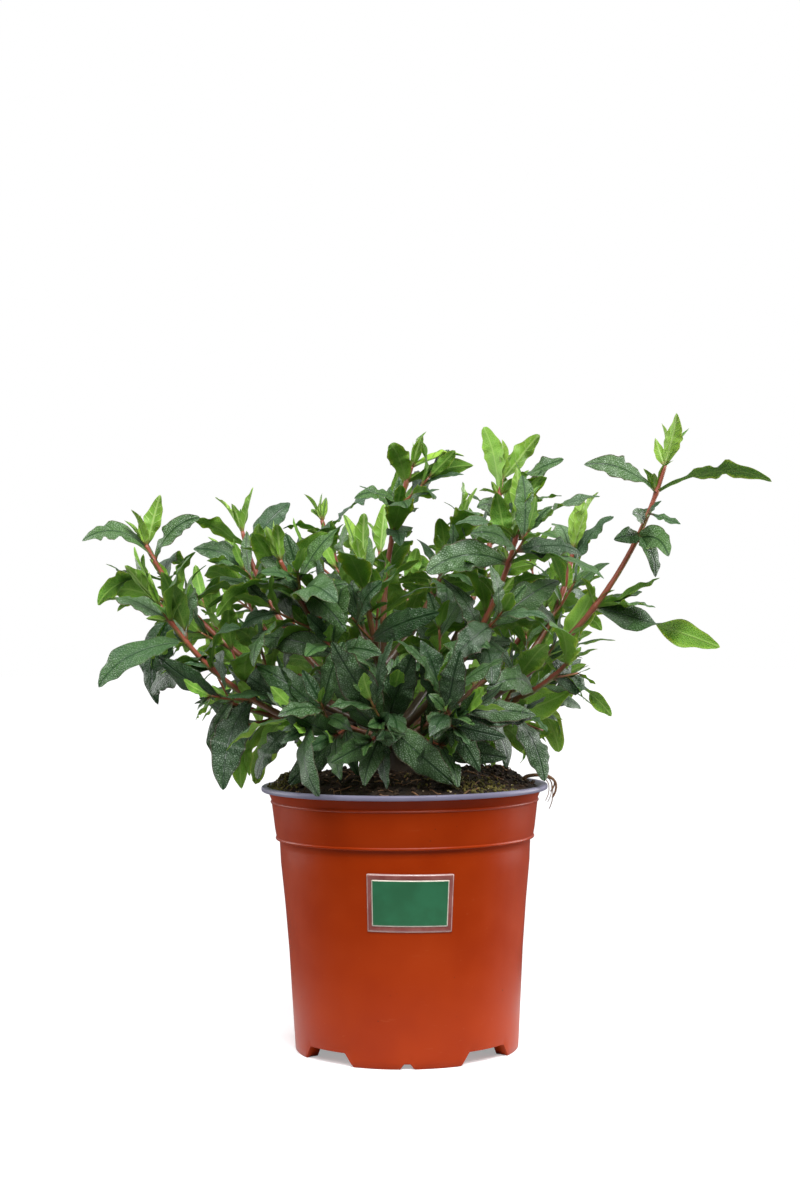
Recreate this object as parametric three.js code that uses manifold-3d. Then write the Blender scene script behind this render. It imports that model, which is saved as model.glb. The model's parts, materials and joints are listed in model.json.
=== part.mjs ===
// Potted gum rockrose: a young evergreen shrub in a round plastic nursery pot.
// Millimetres, +Z up. The origin is on the pot's axis, on the surface that it stands on.
// The pot's label faces -Y.
import * as THREE from "three";
import { mergeVertices } from "three/addons/utils/BufferGeometryUtils.js";
import Module from "manifold-3d";

const wasm = await Module();
wasm.setup();

// Pot
const POT_HEIGHT = 174;
const LIP_RADIUS = 95;
const LIP_DEPTH = 3.4;
const NECK_RADIUS = 90.6;
const COLLAR_TOP = { radius: 88.4, z: 164 };
const COLLAR_FOOT = { radius: 85.3, z: 140.2 };
const BODY_TOP = { radius: 83.2, z: 138.8 };
const BODY_MIDDLE = { radius: 79.9, z: 96.7 };
const BODY_FOOT = { radius: 73.9, z: 2 };
const WALL = 1.6;
const FLOOR_UNDERSIDE = 9.2;
const FLOOR_THICKNESS = 2;
const HUB_RADIUS = 14;
const FOOT_WIDTH = 9.8;
const FOOT_COUNT = 4;
const FOOT_GAP = { bottom: 42, top: 32, height: 8.3 };
const FOOT_DRAIN = { bottom: 8, top: 4.4, height: 3.2 };
const FLOOR_HOLE = { radius: 4.5, circle: 42 };
const POT_SEGMENTS = 36;

// Soil, heaped a little above the rim behind and level with it in front
const SOIL_REACH = 88;
const SOIL_EDGE = 172.5;
const SOIL_EDGE_TILT = 2.5;
const SOIL_CREST = 183;
const SOIL_LUMP = 0.8;
const CLEARANCE = 0.3;

// Label: a card in a clear sleeve, wrapped on the pot's wall
const LABEL_MIDDLE = 105.5;
const LABEL_TURN = 2;
const SLEEVE_SIZE = { width: 55, height: 37, thickness: 0.8 };
const CARD_SIZE = { width: 48.5, height: 29.5, thickness: 0.6 };
const LABEL_COLUMNS = 8;

// Trunk and limbs
const TRUNK_FOOT = new THREE.Vector3(-3, 2, SOIL_CREST);
const TRUNK_TOP = new THREE.Vector3(-7, 0, 214);
const TRUNK_RADII = [10.5, 7.6, 6.4, 5.8, 4.6];
const STUB_LENGTH = 13;
const LIMB_SIDES = 6;
const SHORTEST_BOUGH = 2;
const LIMB_RADIUS = 2.7;
const TIP_RADIUS = 1.45;

// Growth of leaves and side twigs. A pair's age counts from the shoot's tip.
const AGES = [
  { size: 0.52, angle: 12, bend: 4, sag: 0 },
  { size: 0.86, angle: 44, bend: 40, sag: 0.12 },
  { size: 1.0, angle: 58, bend: 56, sag: 0.3 },
  { size: 1.0, angle: 66, bend: 60, sag: 0.45 },
  { size: 0.96, angle: 70, bend: 56, sag: 0.55 },
  { size: 0.88, angle: 74, bend: 50, sag: 0.6 },
  { size: 0.8, angle: 76, bend: 46, sag: 0.6 },
];
const TWIG_AGES = [
  { size: 0.34, angle: 16, bend: 6, sag: 0.02 },
  { size: 0.5, angle: 32, bend: 24, sag: 0.1 },
  { size: 0.58, angle: 48, bend: 38, sag: 0.2 },
  { size: 0.6, angle: 58, bend: 42, sag: 0.3 },
];
const SECOND_TRIES = [
  { turn: 1, scale: 1 },
  { turn: 0.78, scale: 0.9 },
  { turn: 0.55, scale: 0.8 },
  { turn: 1.15, scale: 0.66 },
  { turn: 0.8, scale: 0.55 },
];
const LONGEST_GAP = 38;
const GAP_REACH = 2.9;
const TWIG_CHANCE = 0.5;
const TWIG_ANGLE = 38;
const TWIG_GAP = 7;
const TWIG_STRETCH = 1.4;
const TWIG_RADIUS = 1.1;
const LEAF_STEPS = 12;
const LEAF_STATIONS = [4, 8];
const SHORT_LEAF_STATIONS = [5];
const LONG_LEAF = 36;
const SHORTEST_TWIG_LEAF = 24;
const CROSSING_LIMIT = 12;
const LEAF_THICKNESS = 1.5;
const LEAF_ROOT = 0.55;
const TWIG_LEAF_ROOT = 0.35;
const SPACE_MARGIN = 1.6;
const LIMB_MARGIN = 4.2;
const TRUNK_MARGIN = 9.5;
const LINE_STEPS = 24;

// Shoots. Each leaves its parent at the height or distance foot, bends by its elbow and ends at its tip.
// bare is the limb's length before the foliage starts, leaf a full leaf's length, roll the turn of its last
// pair, gap the distance to the next pair, which grows by stretch each time, old the age of its youngest
// pair, and droop how far leaves bend.
const SHOOTS = [
  { name: "far_left", tip: [-172, 12, 335], elbow: [-132, 12, 252],
    parent: "trunk", foot: 207, bare: 62, leaf: 60, roll: 60, gap: 12, stretch: 1.4,
    seed: 73, old: 0, droop: 1.15 },
  { name: "left_front", tip: [-156, -48, 294], elbow: [-109, -40, 213],
    parent: "trunk", foot: 201, bare: 54, leaf: 64, roll: 40, gap: 12, stretch: 1.4,
    seed: 181, old: 0, droop: 0.7 },
  { name: "left_back", tip: [-110, 48, 345], elbow: [-88, 40, 260],
    parent: "trunk", foot: 210, bare: 50, leaf: 58, roll: 150, gap: 12, stretch: 1.4,
    seed: 557, old: 0, droop: 0.5 },
  { name: "left_inner", tip: [-78, -60, 322], elbow: [-50, -50, 261],
    parent: "trunk", foot: 208, bare: 40, leaf: 70, roll: 100, gap: 12, stretch: 1.4,
    seed: 307, old: 0, droop: 1.15 },
  { name: "top_left", tip: [7, 8, 386], elbow: [-25, 10, 297],
    parent: "trunk", foot: 211, bare: 52, leaf: 64, roll: 170, gap: 11, stretch: 1.4,
    seed: 160, old: 0, droop: 0.85 },
  { name: "top_back", tip: [71, 90, 382], elbow: [58, 80, 282],
    parent: "trunk", foot: 209, bare: 56, leaf: 62, roll: 50, gap: 11, stretch: 1.4,
    seed: 123, old: 0, droop: 0.7 },
  { name: "right_front", tip: [76, -50, 347], elbow: [56, -50, 260],
    parent: "trunk", foot: 207, bare: 42, leaf: 68, roll: 110, gap: 12, stretch: 1.4,
    seed: 349, old: 0, droop: 1.0 },
  { name: "far_right", tip: [175, -5, 384], elbow: [133, -5, 246],
    parent: "trunk", foot: 203, bare: 74, leaf: 84, roll: 90, gap: 18, stretch: 1.9,
    seed: 66, old: 0, droop: 0.85 },
  { name: "back_left", tip: [-119, 100, 316], elbow: [-80, 84, 230],
    parent: "trunk", foot: 202, bare: 56, leaf: 62, roll: 150, gap: 12, stretch: 1.4,
    seed: 727, old: 0, droop: 1.15 },
  { name: "back", tip: [-16, 122, 332], elbow: [-14, 92, 240],
    parent: "trunk", foot: 204, bare: 54, leaf: 62, roll: 120, gap: 12, stretch: 1.4,
    seed: 811, old: 0, droop: 1.0 },
  { name: "back_right", tip: [110, 112, 318], elbow: [77, 92, 237],
    parent: "trunk", foot: 201, bare: 58, leaf: 62, roll: 10, gap: 12, stretch: 1.4,
    seed: 97, old: 0, droop: 1.0 },
  { name: "foot_left", tip: [-58, -68, 219], elbow: [-33, -50, 218],
    parent: "trunk", foot: 197, bare: 14, leaf: 68, roll: 50, gap: 12, stretch: 1.4,
    seed: 59, old: 2, droop: 1.0 },
  { name: "foot_front", tip: [-14, -86, 220], elbow: [-10, -50, 218],
    parent: "trunk", foot: 199, bare: 14, leaf: 68, roll: 50, gap: 12, stretch: 1.4,
    seed: 195, old: 2, droop: 0.5 },
  { name: "foot_right", tip: [29, -78, 223], elbow: [13, -50, 218],
    parent: "trunk", foot: 197, bare: 14, leaf: 68, roll: 70, gap: 12, stretch: 1.4,
    seed: 193, old: 2, droop: 0.7 },
  { name: "foot_back", tip: [25, 74, 222], elbow: [7, 50, 213],
    parent: "trunk", foot: 198, bare: 14, leaf: 66, roll: 140, gap: 12, stretch: 1.4,
    seed: 127, old: 2, droop: 1.15 },
  { name: "right_inner", tip: [117, 38, 331], elbow: [107, 34, 268],
    parent: "far_right", foot: 62, bare: 20, leaf: 60, roll: 20, gap: 12, stretch: 1.4,
    seed: 837, old: 0, droop: 0.85 },
  { name: "low_right", tip: [105, -46, 254], elbow: [80, -40, 227],
    parent: "far_right", foot: 44, bare: 18, leaf: 66, roll: 70, gap: 12, stretch: 1.4,
    seed: 698, old: 1, droop: 0.85 },
  { name: "hang_right", tip: [90, 34, 217], elbow: [72, 28, 213],
    parent: "far_right", foot: 34, bare: 16, leaf: 62, roll: 60, gap: 14, stretch: 1.4,
    seed: 414, old: 2, droop: 1.0 },
  { name: "low_left", tip: [-113, -14, 229], elbow: [-75, -10, 216],
    parent: "left_front", foot: 34, bare: 18, leaf: 64, roll: 20, gap: 12, stretch: 1.4,
    seed: 470, old: 2, droop: 1.0 },
  { name: "crown_left", tip: [-55, 44, 352], elbow: [-36, 36, 290],
    parent: "top_left", foot: 36, bare: 20, leaf: 56, roll: 100, gap: 11, stretch: 1.4,
    seed: 63, old: 0, droop: 1.15 },
  { name: "crown_mid", tip: [-26, -44, 314], elbow: [-20, -40, 270],
    parent: "top_left", foot: 24, bare: 16, leaf: 62, roll: 160, gap: 11, stretch: 1.4,
    seed: 338, old: 0, droop: 0.5 },
  { name: "crown_right", tip: [38, 20, 345], elbow: [22, 24, 290],
    parent: "top_left", foot: 42, bare: 18, leaf: 58, roll: 0, gap: 11, stretch: 1.4,
    seed: 22, old: 0, droop: 1.15 },
  { name: "low_back", tip: [12, 124, 245], elbow: [0, 96, 217],
    parent: "back", foot: 44, bare: 16, leaf: 64, roll: 0, gap: 12, stretch: 1.4,
    seed: 461, old: 2, droop: 0.5 },
  { name: "low_back_left", tip: [-95, 60, 242], elbow: [-61, 56, 220],
    parent: "back_left", foot: 40, bare: 16, leaf: 64, roll: 30, gap: 12, stretch: 1.4,
    seed: 727, old: 1, droop: 0.7 },
  { name: "low_back_right", tip: [110, 84, 242], elbow: [76, 70, 221],
    parent: "back_right", foot: 42, bare: 16, leaf: 64, roll: 10, gap: 12, stretch: 1.4,
    seed: 227, old: 1, droop: 0.85 },
];

const UP = new THREE.Vector3(0, 0, 1);
const DEPTH = new THREE.Vector3(0, 1, 0);

const bark = new THREE.MeshStandardMaterial({ color: 0x8a4a34, roughness: 0.75, metalness: 0 });
const stemSkin = new THREE.MeshStandardMaterial({ color: 0xa0563a, roughness: 0.6, metalness: 0 });
const foliage = new THREE.MeshStandardMaterial({ color: 0x4d7a3e, roughness: 0.6, metalness: 0 });
const potPlastic = new THREE.MeshStandardMaterial({ color: 0xb0432a, roughness: 0.45, metalness: 0 });
const soilEarth = new THREE.MeshStandardMaterial({ color: 0x2b2118, roughness: 0.95, metalness: 0 });
const sleevePlastic = new THREE.MeshStandardMaterial({ color: 0x8a4a48, roughness: 0.3, metalness: 0 });
const cardPaper = new THREE.MeshStandardMaterial({ color: 0x2f7a50, roughness: 0.5, metalness: 0 });

function seeded(seed) {
  let state = seed >>> 0;
  return function draw() {
    state = (state + 0x6d2b79f5) >>> 0;
    let mixed = Math.imul(state ^ (state >>> 15), state | 1);
    mixed ^= mixed + Math.imul(mixed ^ (mixed >>> 7), mixed | 61);
    return ((mixed ^ (mixed >>> 14)) >>> 0) / 4294967296;
  };
}

// Solids: closed triangle meshes in and out of the boolean library

function solidOf(geometry) {
  const bare = geometry.clone();
  bare.deleteAttribute("normal");
  bare.deleteAttribute("uv");
  const merged = mergeVertices(bare, 1e-4);
  const index = merged.index.array;
  const kept = [];
  for (let i = 0; i < index.length; i += 3) {
    const [a, b, c] = [index[i], index[i + 1], index[i + 2]];
    if (a !== b && b !== c && c !== a) kept.push(a, b, c);
  }
  const vertProperties = new Float32Array(merged.attributes.position.array);
  return new wasm.Manifold(new wasm.Mesh({ numProp: 3, vertProperties, triVerts: new Uint32Array(kept) }));
}

function geometryOf(solid) {
  const mesh = solid.getMesh();
  const geometry = new THREE.BufferGeometry();
  geometry.setAttribute("position", new THREE.BufferAttribute(new Float32Array(mesh.vertProperties), 3));
  geometry.setIndex(new THREE.BufferAttribute(new Uint32Array(mesh.triVerts), 1));
  geometry.computeVertexNormals();
  return geometry;
}

// A union's largest shell, without loose scraps and with its sealed hollows filled.
function largestShell(solid) {
  const shells = solid.decompose();
  return shells.reduce((best, shell) => (shell.volume() > best.volume() ? shell : best));
}

// A closed skin over rings of equal count, with a flat cap or a single point at each end.
function lofted(rings) {
  const positions = [];
  const starts = [];
  for (const ring of rings) {
    starts.push(positions.length / 3);
    for (const point of ring) positions.push(point.x, point.y, point.z);
  }
  const index = [];
  for (let k = 0; k + 1 < rings.length; k += 1) {
    const [low, high] = [rings[k], rings[k + 1]];
    const count = Math.max(low.length, high.length);
    for (let i = 0; i < count; i += 1) {
      const next = (i + 1) % count;
      const a = starts[k] + (low.length > 1 ? i : 0);
      const b = starts[k] + (low.length > 1 ? next : 0);
      const c = starts[k + 1] + (high.length > 1 ? next : 0);
      const d = starts[k + 1] + (high.length > 1 ? i : 0);
      if (a !== b) index.push(a, b, c);
      if (c !== d) index.push(a, c, d);
    }
  }
  const last = rings.length - 1;
  for (let i = 1; i + 1 < rings[0].length; i += 1) index.push(starts[0], starts[0] + i + 1, starts[0] + i);
  for (let i = 1; i + 1 < rings[last].length; i += 1) index.push(starts[last], starts[last] + i, starts[last] + i + 1);
  const geometry = new THREE.BufferGeometry();
  geometry.setAttribute("position", new THREE.Float32BufferAttribute(positions, 3));
  geometry.setIndex(index);
  return geometry;
}

function perpendicular(direction) {
  const side = new THREE.Vector3().crossVectors(direction, DEPTH);
  if (side.length() < 0.05) side.crossVectors(direction, UP);
  return side.normalize();
}

function ringAround(centre, direction, radius, sides) {
  const u = perpendicular(direction);
  const v = new THREE.Vector3().crossVectors(direction, u);
  const ring = [];
  for (let i = 0; i < sides; i += 1) {
    const angle = (2 * Math.PI * i) / sides;
    ring.push(centre.clone()
      .addScaledVector(u, radius * Math.cos(angle))
      .addScaledVector(v, radius * Math.sin(angle)));
  }
  return ring;
}

// A tapered limb along a path from one distance to another.
function limb(path, from, to, radiusAt, sides, steps) {
  const rings = [];
  for (let k = 0; k <= steps; k += 1) {
    const s = from + ((to - from) * k) / steps;
    rings.push(ringAround(path.at(s), path.direction(s), radiusAt(s), sides));
  }
  return lofted(rings);
}

// Paths: one bend from a start by an elbow to a tip, measured along its length

class Bend {
  constructor(start, elbow, tip) {
    this.curve = new THREE.QuadraticBezierCurve3(start, elbow, tip);
    this.samples = 64;
    this.lengths = [0];
    for (let i = 1; i <= this.samples; i += 1) {
      const step = this.curve.getPoint(i / this.samples).distanceTo(this.curve.getPoint((i - 1) / this.samples));
      this.lengths.push(this.lengths[i - 1] + step);
    }
    this.length = this.lengths[this.samples];
  }

  share(s) {
    if (s <= 0) return 0;
    if (s >= this.length) return 1;
    let i = 1;
    while (this.lengths[i] < s) i += 1;
    const within = (s - this.lengths[i - 1]) / (this.lengths[i] - this.lengths[i - 1]);
    return (i - 1 + within) / this.samples;
  }

  at(s) {
    return this.curve.getPoint(this.share(s));
  }

  direction(s) {
    const t = this.share(s);
    const { v0, v1, v2 } = this.curve;
    const first = v1.clone().sub(v0).multiplyScalar(1 - t);
    return first.addScaledVector(v2.clone().sub(v1), t).normalize();
  }

  points(count, until = this.length) {
    return Array.from({ length: count + 1 }, (_, i) => this.at((until * i) / count));
  }
}

function distanceToLine(point, line) {
  let nearest = Infinity;
  const closest = new THREE.Vector3();
  for (const segment of line) {
    segment.closestPointToPoint(point, true, closest);
    nearest = Math.min(nearest, closest.distanceTo(point));
  }
  return nearest;
}

function lineThrough(points) {
  return points.slice(1).map((point, i) => new THREE.Line3(points[i], point));
}

// Soil surface and the lowest height a leaf may reach over soil, rim and floor

function soilHeight(x, y) {
  const out = Math.min(Math.hypot(x, y) / SOIL_REACH, 1);
  const edge = SOIL_EDGE + (SOIL_EDGE_TILT * y) / SOIL_REACH;
  return edge + (SOIL_CREST - edge) * (1 - out ** 3);
}

function lowestLeaf(point) {
  const out = Math.hypot(point.x, point.y);
  if (out < SOIL_REACH - 2) return soilHeight(point.x, point.y) + 2.5;
  if (out < LIP_RADIUS + 5) return POT_HEIGHT + 3;
  return POT_HEIGHT - 8;
}

// Growth

function trunkPoint(height) {
  const share = (height - TRUNK_FOOT.z) / (TRUNK_TOP.z - TRUNK_FOOT.z);
  return TRUNK_FOOT.clone().lerp(TRUNK_TOP, share);
}

function leafOutline(u) {
  return 0.16 * (1 - u) ** 2 + Math.max(0, Math.sin(Math.PI * u ** 0.92)) ** 1.1;
}

// A leaf's midrib, faces and edges at each step from its root to its tip. It leaves the stem at an angle,
// bends back by bend over its length and sags under its weight.
function leafBlade(root, tangent, radial, length, width, angle, bend, sag, twist) {
  const rib = [root.clone()];
  const directions = [];
  for (let i = 0; i < LEAF_STEPS; i += 1) {
    const u = (i + 0.5) / LEAF_STEPS;
    const turn = angle + bend * u;
    const direction = tangent.clone().multiplyScalar(Math.cos(turn))
      .addScaledVector(radial, Math.sin(turn)).addScaledVector(UP, -sag * u).normalize();
    directions.push(direction);
    rib.push(rib[i].clone().addScaledVector(direction, length / LEAF_STEPS));
  }
  const normal = tangent.clone().multiplyScalar(Math.sin(angle)).addScaledVector(radial, -Math.cos(angle));
  const blade = { rib, left: [], right: [], faces: [] };
  for (let i = 0; i <= LEAF_STEPS; i += 1) {
    const before = directions[Math.max(i - 1, 0)];
    const after = directions[Math.min(i, LEAF_STEPS - 1)];
    const along = before.clone().add(after).normalize();
    normal.addScaledVector(along, -normal.dot(along)).normalize();
    const side = new THREE.Vector3().crossVectors(along, normal);
    const roll = (twist * i) / LEAF_STEPS;
    const across = side.clone().multiplyScalar(Math.cos(roll)).addScaledVector(normal, Math.sin(roll));
    const face = normal.clone().multiplyScalar(Math.cos(roll)).addScaledVector(side, -Math.sin(roll));
    const half = i === LEAF_STEPS ? 0 : (leafOutline(i / LEAF_STEPS) * width) / 2;
    blade.left.push(rib[i].clone().addScaledVector(across, half));
    blade.right.push(rib[i].clone().addScaledVector(across, -half));
    blade.faces.push(face);
  }
  return blade;
}

// The solid of a leaf: a keeled blade on three-cornered sections, rooted in its stem.
function leafSolid(blade, rootSize, stations) {
  const rings = [];
  for (const i of [0, ...stations]) {
    const across = blade.left[i].clone().sub(blade.right[i]).normalize();
    const half = i === 0 ? rootSize : blade.left[i].distanceTo(blade.right[i]) / 2;
    const lift = i === 0 ? rootSize * 0.8 : LEAF_THICKNESS / 2;
    const upper = blade.rib[i].clone().addScaledVector(blade.faces[i], lift);
    const left = upper.clone().addScaledVector(across, half);
    const right = upper.addScaledVector(across, -half);
    rings.push([left, blade.rib[i].clone().addScaledVector(blade.faces[i], -lift), right]);
  }
  rings.push([blade.rib[LEAF_STEPS]]);
  return solidOf(lofted(rings));
}

// A test of points against one shoot's own space: nearer to its own line than to any other shoot's by
// the margin, clear of its own bare limb and of the trunk, and above soil and rim.
function spaceOf(shoot, lines) {
  const own = lineThrough(lines.get(shoot.name));
  const others = [...lines].filter(([name]) => name !== shoot.name).flatMap(([, points]) => lineThrough(points));
  const bareLimb = lineThrough(shoot.path.points(11, Math.max(shoot.bare - 1.5, 2)));
  const trunk = [new THREE.Line3(TRUNK_FOOT, TRUNK_TOP)];
  return function fits(points) {
    return points.every((point) => point.z >= lowestLeaf(point)
      && distanceToLine(point, trunk) >= TRUNK_MARGIN
      && distanceToLine(point, bareLimb) >= LIMB_MARGIN
      && distanceToLine(point, others) - distanceToLine(point, own) >= SPACE_MARGIN);
  };
}

function bladeTestPoints(blade) {
  const points = [];
  for (let i = 4; i < 11; i += 2) points.push(blade.left[i], blade.right[i]);
  for (let i = 4; i <= LEAF_STEPS; i += 2) points.push(blade.rib[i]);
  return points;
}

// Adds a leaf's blade to the list, turned in or smaller where it doesn't fit at first, or skips it.
function addLeaf(blades, fits, leaf) {
  for (const { turn, scale } of SECOND_TRIES) {
    const blade = leafBlade(leaf.root, leaf.tangent, leaf.radial, leaf.length * scale, leaf.width * scale,
      leaf.angle * turn, leaf.bend, leaf.sag, leaf.twist);
    if (fits(bladeTestPoints(blade))) {
      blades.push({ ...blade, length: leaf.length * scale });
      return;
    }
  }
}

function radialAt(u, v, degrees) {
  const angle = THREE.MathUtils.degToRad(degrees);
  return u.clone().multiplyScalar(Math.cos(angle)).addScaledVector(v, Math.sin(angle));
}

// A short side twig from a leaf's axil, with its own pairs of small leaves.
function addTwig(growth, fits, draw, shoot, root, tangent, radial, reach, turn) {
  const direction = tangent.clone().multiplyScalar(Math.cos(THREE.MathUtils.degToRad(TWIG_ANGLE)))
    .addScaledVector(radial, Math.sin(THREE.MathUtils.degToRad(TWIG_ANGLE)));
  const tip = root.clone().addScaledVector(direction, reach).addScaledVector(UP, reach * 0.15);
  const path = new Bend(root, root.clone().addScaledVector(direction, reach * 0.5), tip);
  if (!fits(path.points(4).slice(2))) return;
  const blades = [];
  growth.twigs.push({ path, blades });
  let gap = TWIG_GAP;
  let s = path.length - 0.5;
  for (let age = 0; s > 4 && age < TWIG_AGES.length; age += 1) {
    const along = path.direction(s);
    const u = new THREE.Vector3().crossVectors(along, radial).normalize();
    const v = new THREE.Vector3().crossVectors(along, u);
    const { size, angle, bend, sag } = TWIG_AGES[age];
    for (const half of [0, 180]) {
      const [lengthDraw, widthDraw, angleDraw, twistDraw] = [draw(), draw(), draw(), draw()];
      const length = shoot.leaf * size * (0.85 + 0.3 * lengthDraw);
      addLeaf(blades, fits, {
        root: path.at(s), tangent: along, radial: radialAt(u, v, turn + 90 * age + half), length,
        width: length * (0.3 + 0.07 * widthDraw),
        angle: THREE.MathUtils.degToRad(angle + (angleDraw - 0.5) * 14),
        bend: THREE.MathUtils.degToRad(bend) * shoot.droop, sag: sag * shoot.droop,
        twist: THREE.MathUtils.degToRad((twistDraw - 0.5) * 50),
      });
    }
    s -= gap;
    gap *= TWIG_STRETCH;
  }
}

// Pairs of leaves from the shoot's tip down to its bare limb, each pair turned a quarter from the last,
// with side twigs in the axils of the older ones.
function grow(shoot, fits) {
  const growth = { blades: [], twigs: [] };
  const draw = seeded(shoot.seed);
  let gap = shoot.gap;
  let s = shoot.path.length - 1;
  for (let pair = 0; s > shoot.bare + 4; pair += 1) {
    const age = Math.min(pair + shoot.old, AGES.length - 1);
    const { size, angle, bend, sag } = AGES[age];
    const root = shoot.path.at(s);
    const tangent = shoot.path.direction(s);
    const u = new THREE.Vector3().crossVectors(tangent, DEPTH).normalize();
    const v = new THREE.Vector3().crossVectors(tangent, u);
    for (const half of [0, 180]) {
      const [rollDraw, lengthDraw, widthDraw, angleDraw, bendDraw, twistDraw] = Array.from({ length: 6 }, draw);
      const radial = radialAt(u, v, shoot.roll + 90 * pair + half + (rollDraw - 0.5) * 30);
      const length = shoot.leaf * size * (0.86 + 0.28 * lengthDraw);
      addLeaf(growth.blades, fits, {
        root, tangent, radial, length, width: length * (0.3 + 0.08 * widthDraw),
        angle: THREE.MathUtils.degToRad(angle + (angleDraw - 0.5) * 16),
        bend: THREE.MathUtils.degToRad(bend + (bendDraw - 0.5) * 24) * shoot.droop, sag: sag * shoot.droop,
        twist: THREE.MathUtils.degToRad((twistDraw - 0.5) * 90),
      });
      const [twigDraw, reachDraw, turnDraw] = [draw(), draw(), draw()];
      if (pair + shoot.old >= 2 && twigDraw < TWIG_CHANCE) {
        const reach = (14 + 26 * reachDraw) * Math.min(1, 0.5 + 0.17 * pair);
        addTwig(growth, fits, draw, shoot, root, tangent, radial, reach, turnDraw * 180);
      }
    }
    s -= gap;
    gap = Math.min(gap * shoot.stretch, Math.max(LONGEST_GAP, GAP_REACH * shoot.gap));
  }
  return growth;
}

// Sub-parts

function turned(profile) {
  const geometry = new THREE.LatheGeometry(profile.map(([r, z]) => new THREE.Vector2(r, z)), POT_SEGMENTS);
  return geometry.rotateX(Math.PI / 2);
}

function outerWall() {
  return [
    [BODY_FOOT.radius - 0.5, 0],
    [BODY_FOOT.radius, BODY_FOOT.z],
    [BODY_MIDDLE.radius, BODY_MIDDLE.z],
    [BODY_TOP.radius, BODY_TOP.z],
    [COLLAR_FOOT.radius, COLLAR_FOOT.z],
    [COLLAR_TOP.radius, COLLAR_TOP.z],
    [NECK_RADIUS, POT_HEIGHT - LIP_DEPTH],
    [LIP_RADIUS, POT_HEIGHT - LIP_DEPTH + 0.4],
    [LIP_RADIUS, POT_HEIGHT - 0.6],
    [LIP_RADIUS - 0.6, POT_HEIGHT],
  ];
}

// The wall's inner face, or the soil's side where extra is the clearance to it.
function innerWall(extra) {
  const inset = WALL + extra;
  return [
    [COLLAR_TOP.radius - inset + 1, POT_HEIGHT - LIP_DEPTH],
    [COLLAR_TOP.radius - inset, COLLAR_TOP.z],
    [COLLAR_FOOT.radius - inset, COLLAR_FOOT.z + 1],
    [BODY_TOP.radius - inset, BODY_TOP.z],
    [BODY_MIDDLE.radius - inset, BODY_MIDDLE.z],
    [BODY_FOOT.radius + 0.5 - inset, FLOOR_UNDERSIDE + FLOOR_THICKNESS + extra],
  ];
}

// A bar with a sloped-sided section that runs outwards under the pot, to cut a gap in its foot ring.
function radialCut({ bottom, top, height }, degrees) {
  const section = new THREE.Shape();
  section.moveTo(-bottom / 2 - 0.6, -1);
  section.lineTo(bottom / 2 + 0.6, -1);
  section.lineTo(top / 2, height);
  section.lineTo(-top / 2, height);
  const reach = 25;
  const bar = new THREE.ExtrudeGeometry(section, { depth: reach, bevelEnabled: false, steps: 1 });
  bar.rotateX(Math.PI / 2);
  bar.translate(0, -(BODY_FOOT.radius - FOOT_WIDTH - 5), 0);
  bar.rotateZ(THREE.MathUtils.degToRad(degrees));
  return solidOf(bar);
}

function floorHole(degrees) {
  const depth = 3 * FLOOR_THICKNESS;
  const hole = new THREE.CylinderGeometry(FLOOR_HOLE.radius, FLOOR_HOLE.radius, depth, 12);
  hole.rotateX(Math.PI / 2);
  hole.translate(0, -FLOOR_HOLE.circle, FLOOR_UNDERSIDE + FLOOR_THICKNESS / 2);
  hole.rotateZ(THREE.MathUtils.degToRad(degrees));
  return solidOf(hole);
}

// Thin-walled round pot with a rolled lip, a collar, four feet and a hub under its floor.
function makePot() {
  const footInside = BODY_FOOT.radius - FOOT_WIDTH;
  let pot = solidOf(turned([
    [0, 0],
    [HUB_RADIUS, 0],
    [HUB_RADIUS, FLOOR_UNDERSIDE],
    [footInside, FLOOR_UNDERSIDE],
    [footInside, 0],
    ...outerWall(),
    [NECK_RADIUS - 0.6, POT_HEIGHT],
    ...innerWall(0),
    [0, FLOOR_UNDERSIDE + FLOOR_THICKNESS],
  ]));
  for (let k = 0; k < FOOT_COUNT; k += 1) {
    const footTurn = (360 * k) / FOOT_COUNT;
    const gapTurn = footTurn + 180 / FOOT_COUNT;
    pot = pot.subtract(radialCut(FOOT_GAP, gapTurn));
    pot = pot.subtract(radialCut(FOOT_DRAIN, footTurn));
    pot = pot.subtract(floorHole(gapTurn));
  }
  return geometryOf(pot);
}

// The pot's filling, with a heaped and slightly lumpy top that is flat where the trunk stands.
function makeSoil() {
  const rings = [1, 0.9, 0.75, 0.55, 0.35, 0.19];
  const side = innerWall(CLEARANCE);
  const edgeRadius = side[0][0];
  const rim = [...side].reverse();
  rim.pop();
  const profile = [
    [0, FLOOR_UNDERSIDE + FLOOR_THICKNESS + CLEARANCE],
    ...rim,
    ...rings.map((share) => [edgeRadius * share, POT_HEIGHT]),
    [0, POT_HEIGHT],
  ];
  const geometry = turned(profile);
  const position = geometry.attributes.position;
  for (let i = 0; i < position.count; i += 1) {
    if (position.getZ(i) < POT_HEIGHT - 0.01) continue;
    const [x, y] = [position.getX(i), position.getY(i)];
    const fromTrunk = Math.hypot(x - TRUNK_FOOT.x, y - TRUNK_FOOT.y);
    const lump = SOIL_LUMP * Math.sin(x / 6.1 + 1) * Math.cos(y / 7.3);
    const flat = fromTrunk < 30 || Math.hypot(x, y) > 0.95 * edgeRadius ? 0 : 1;
    position.setZ(i, fromTrunk < 22 ? SOIL_CREST - CLEARANCE : soilHeight(x, y) + flat * lump);
  }
  return geometryOf(solidOf(geometry));
}

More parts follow.
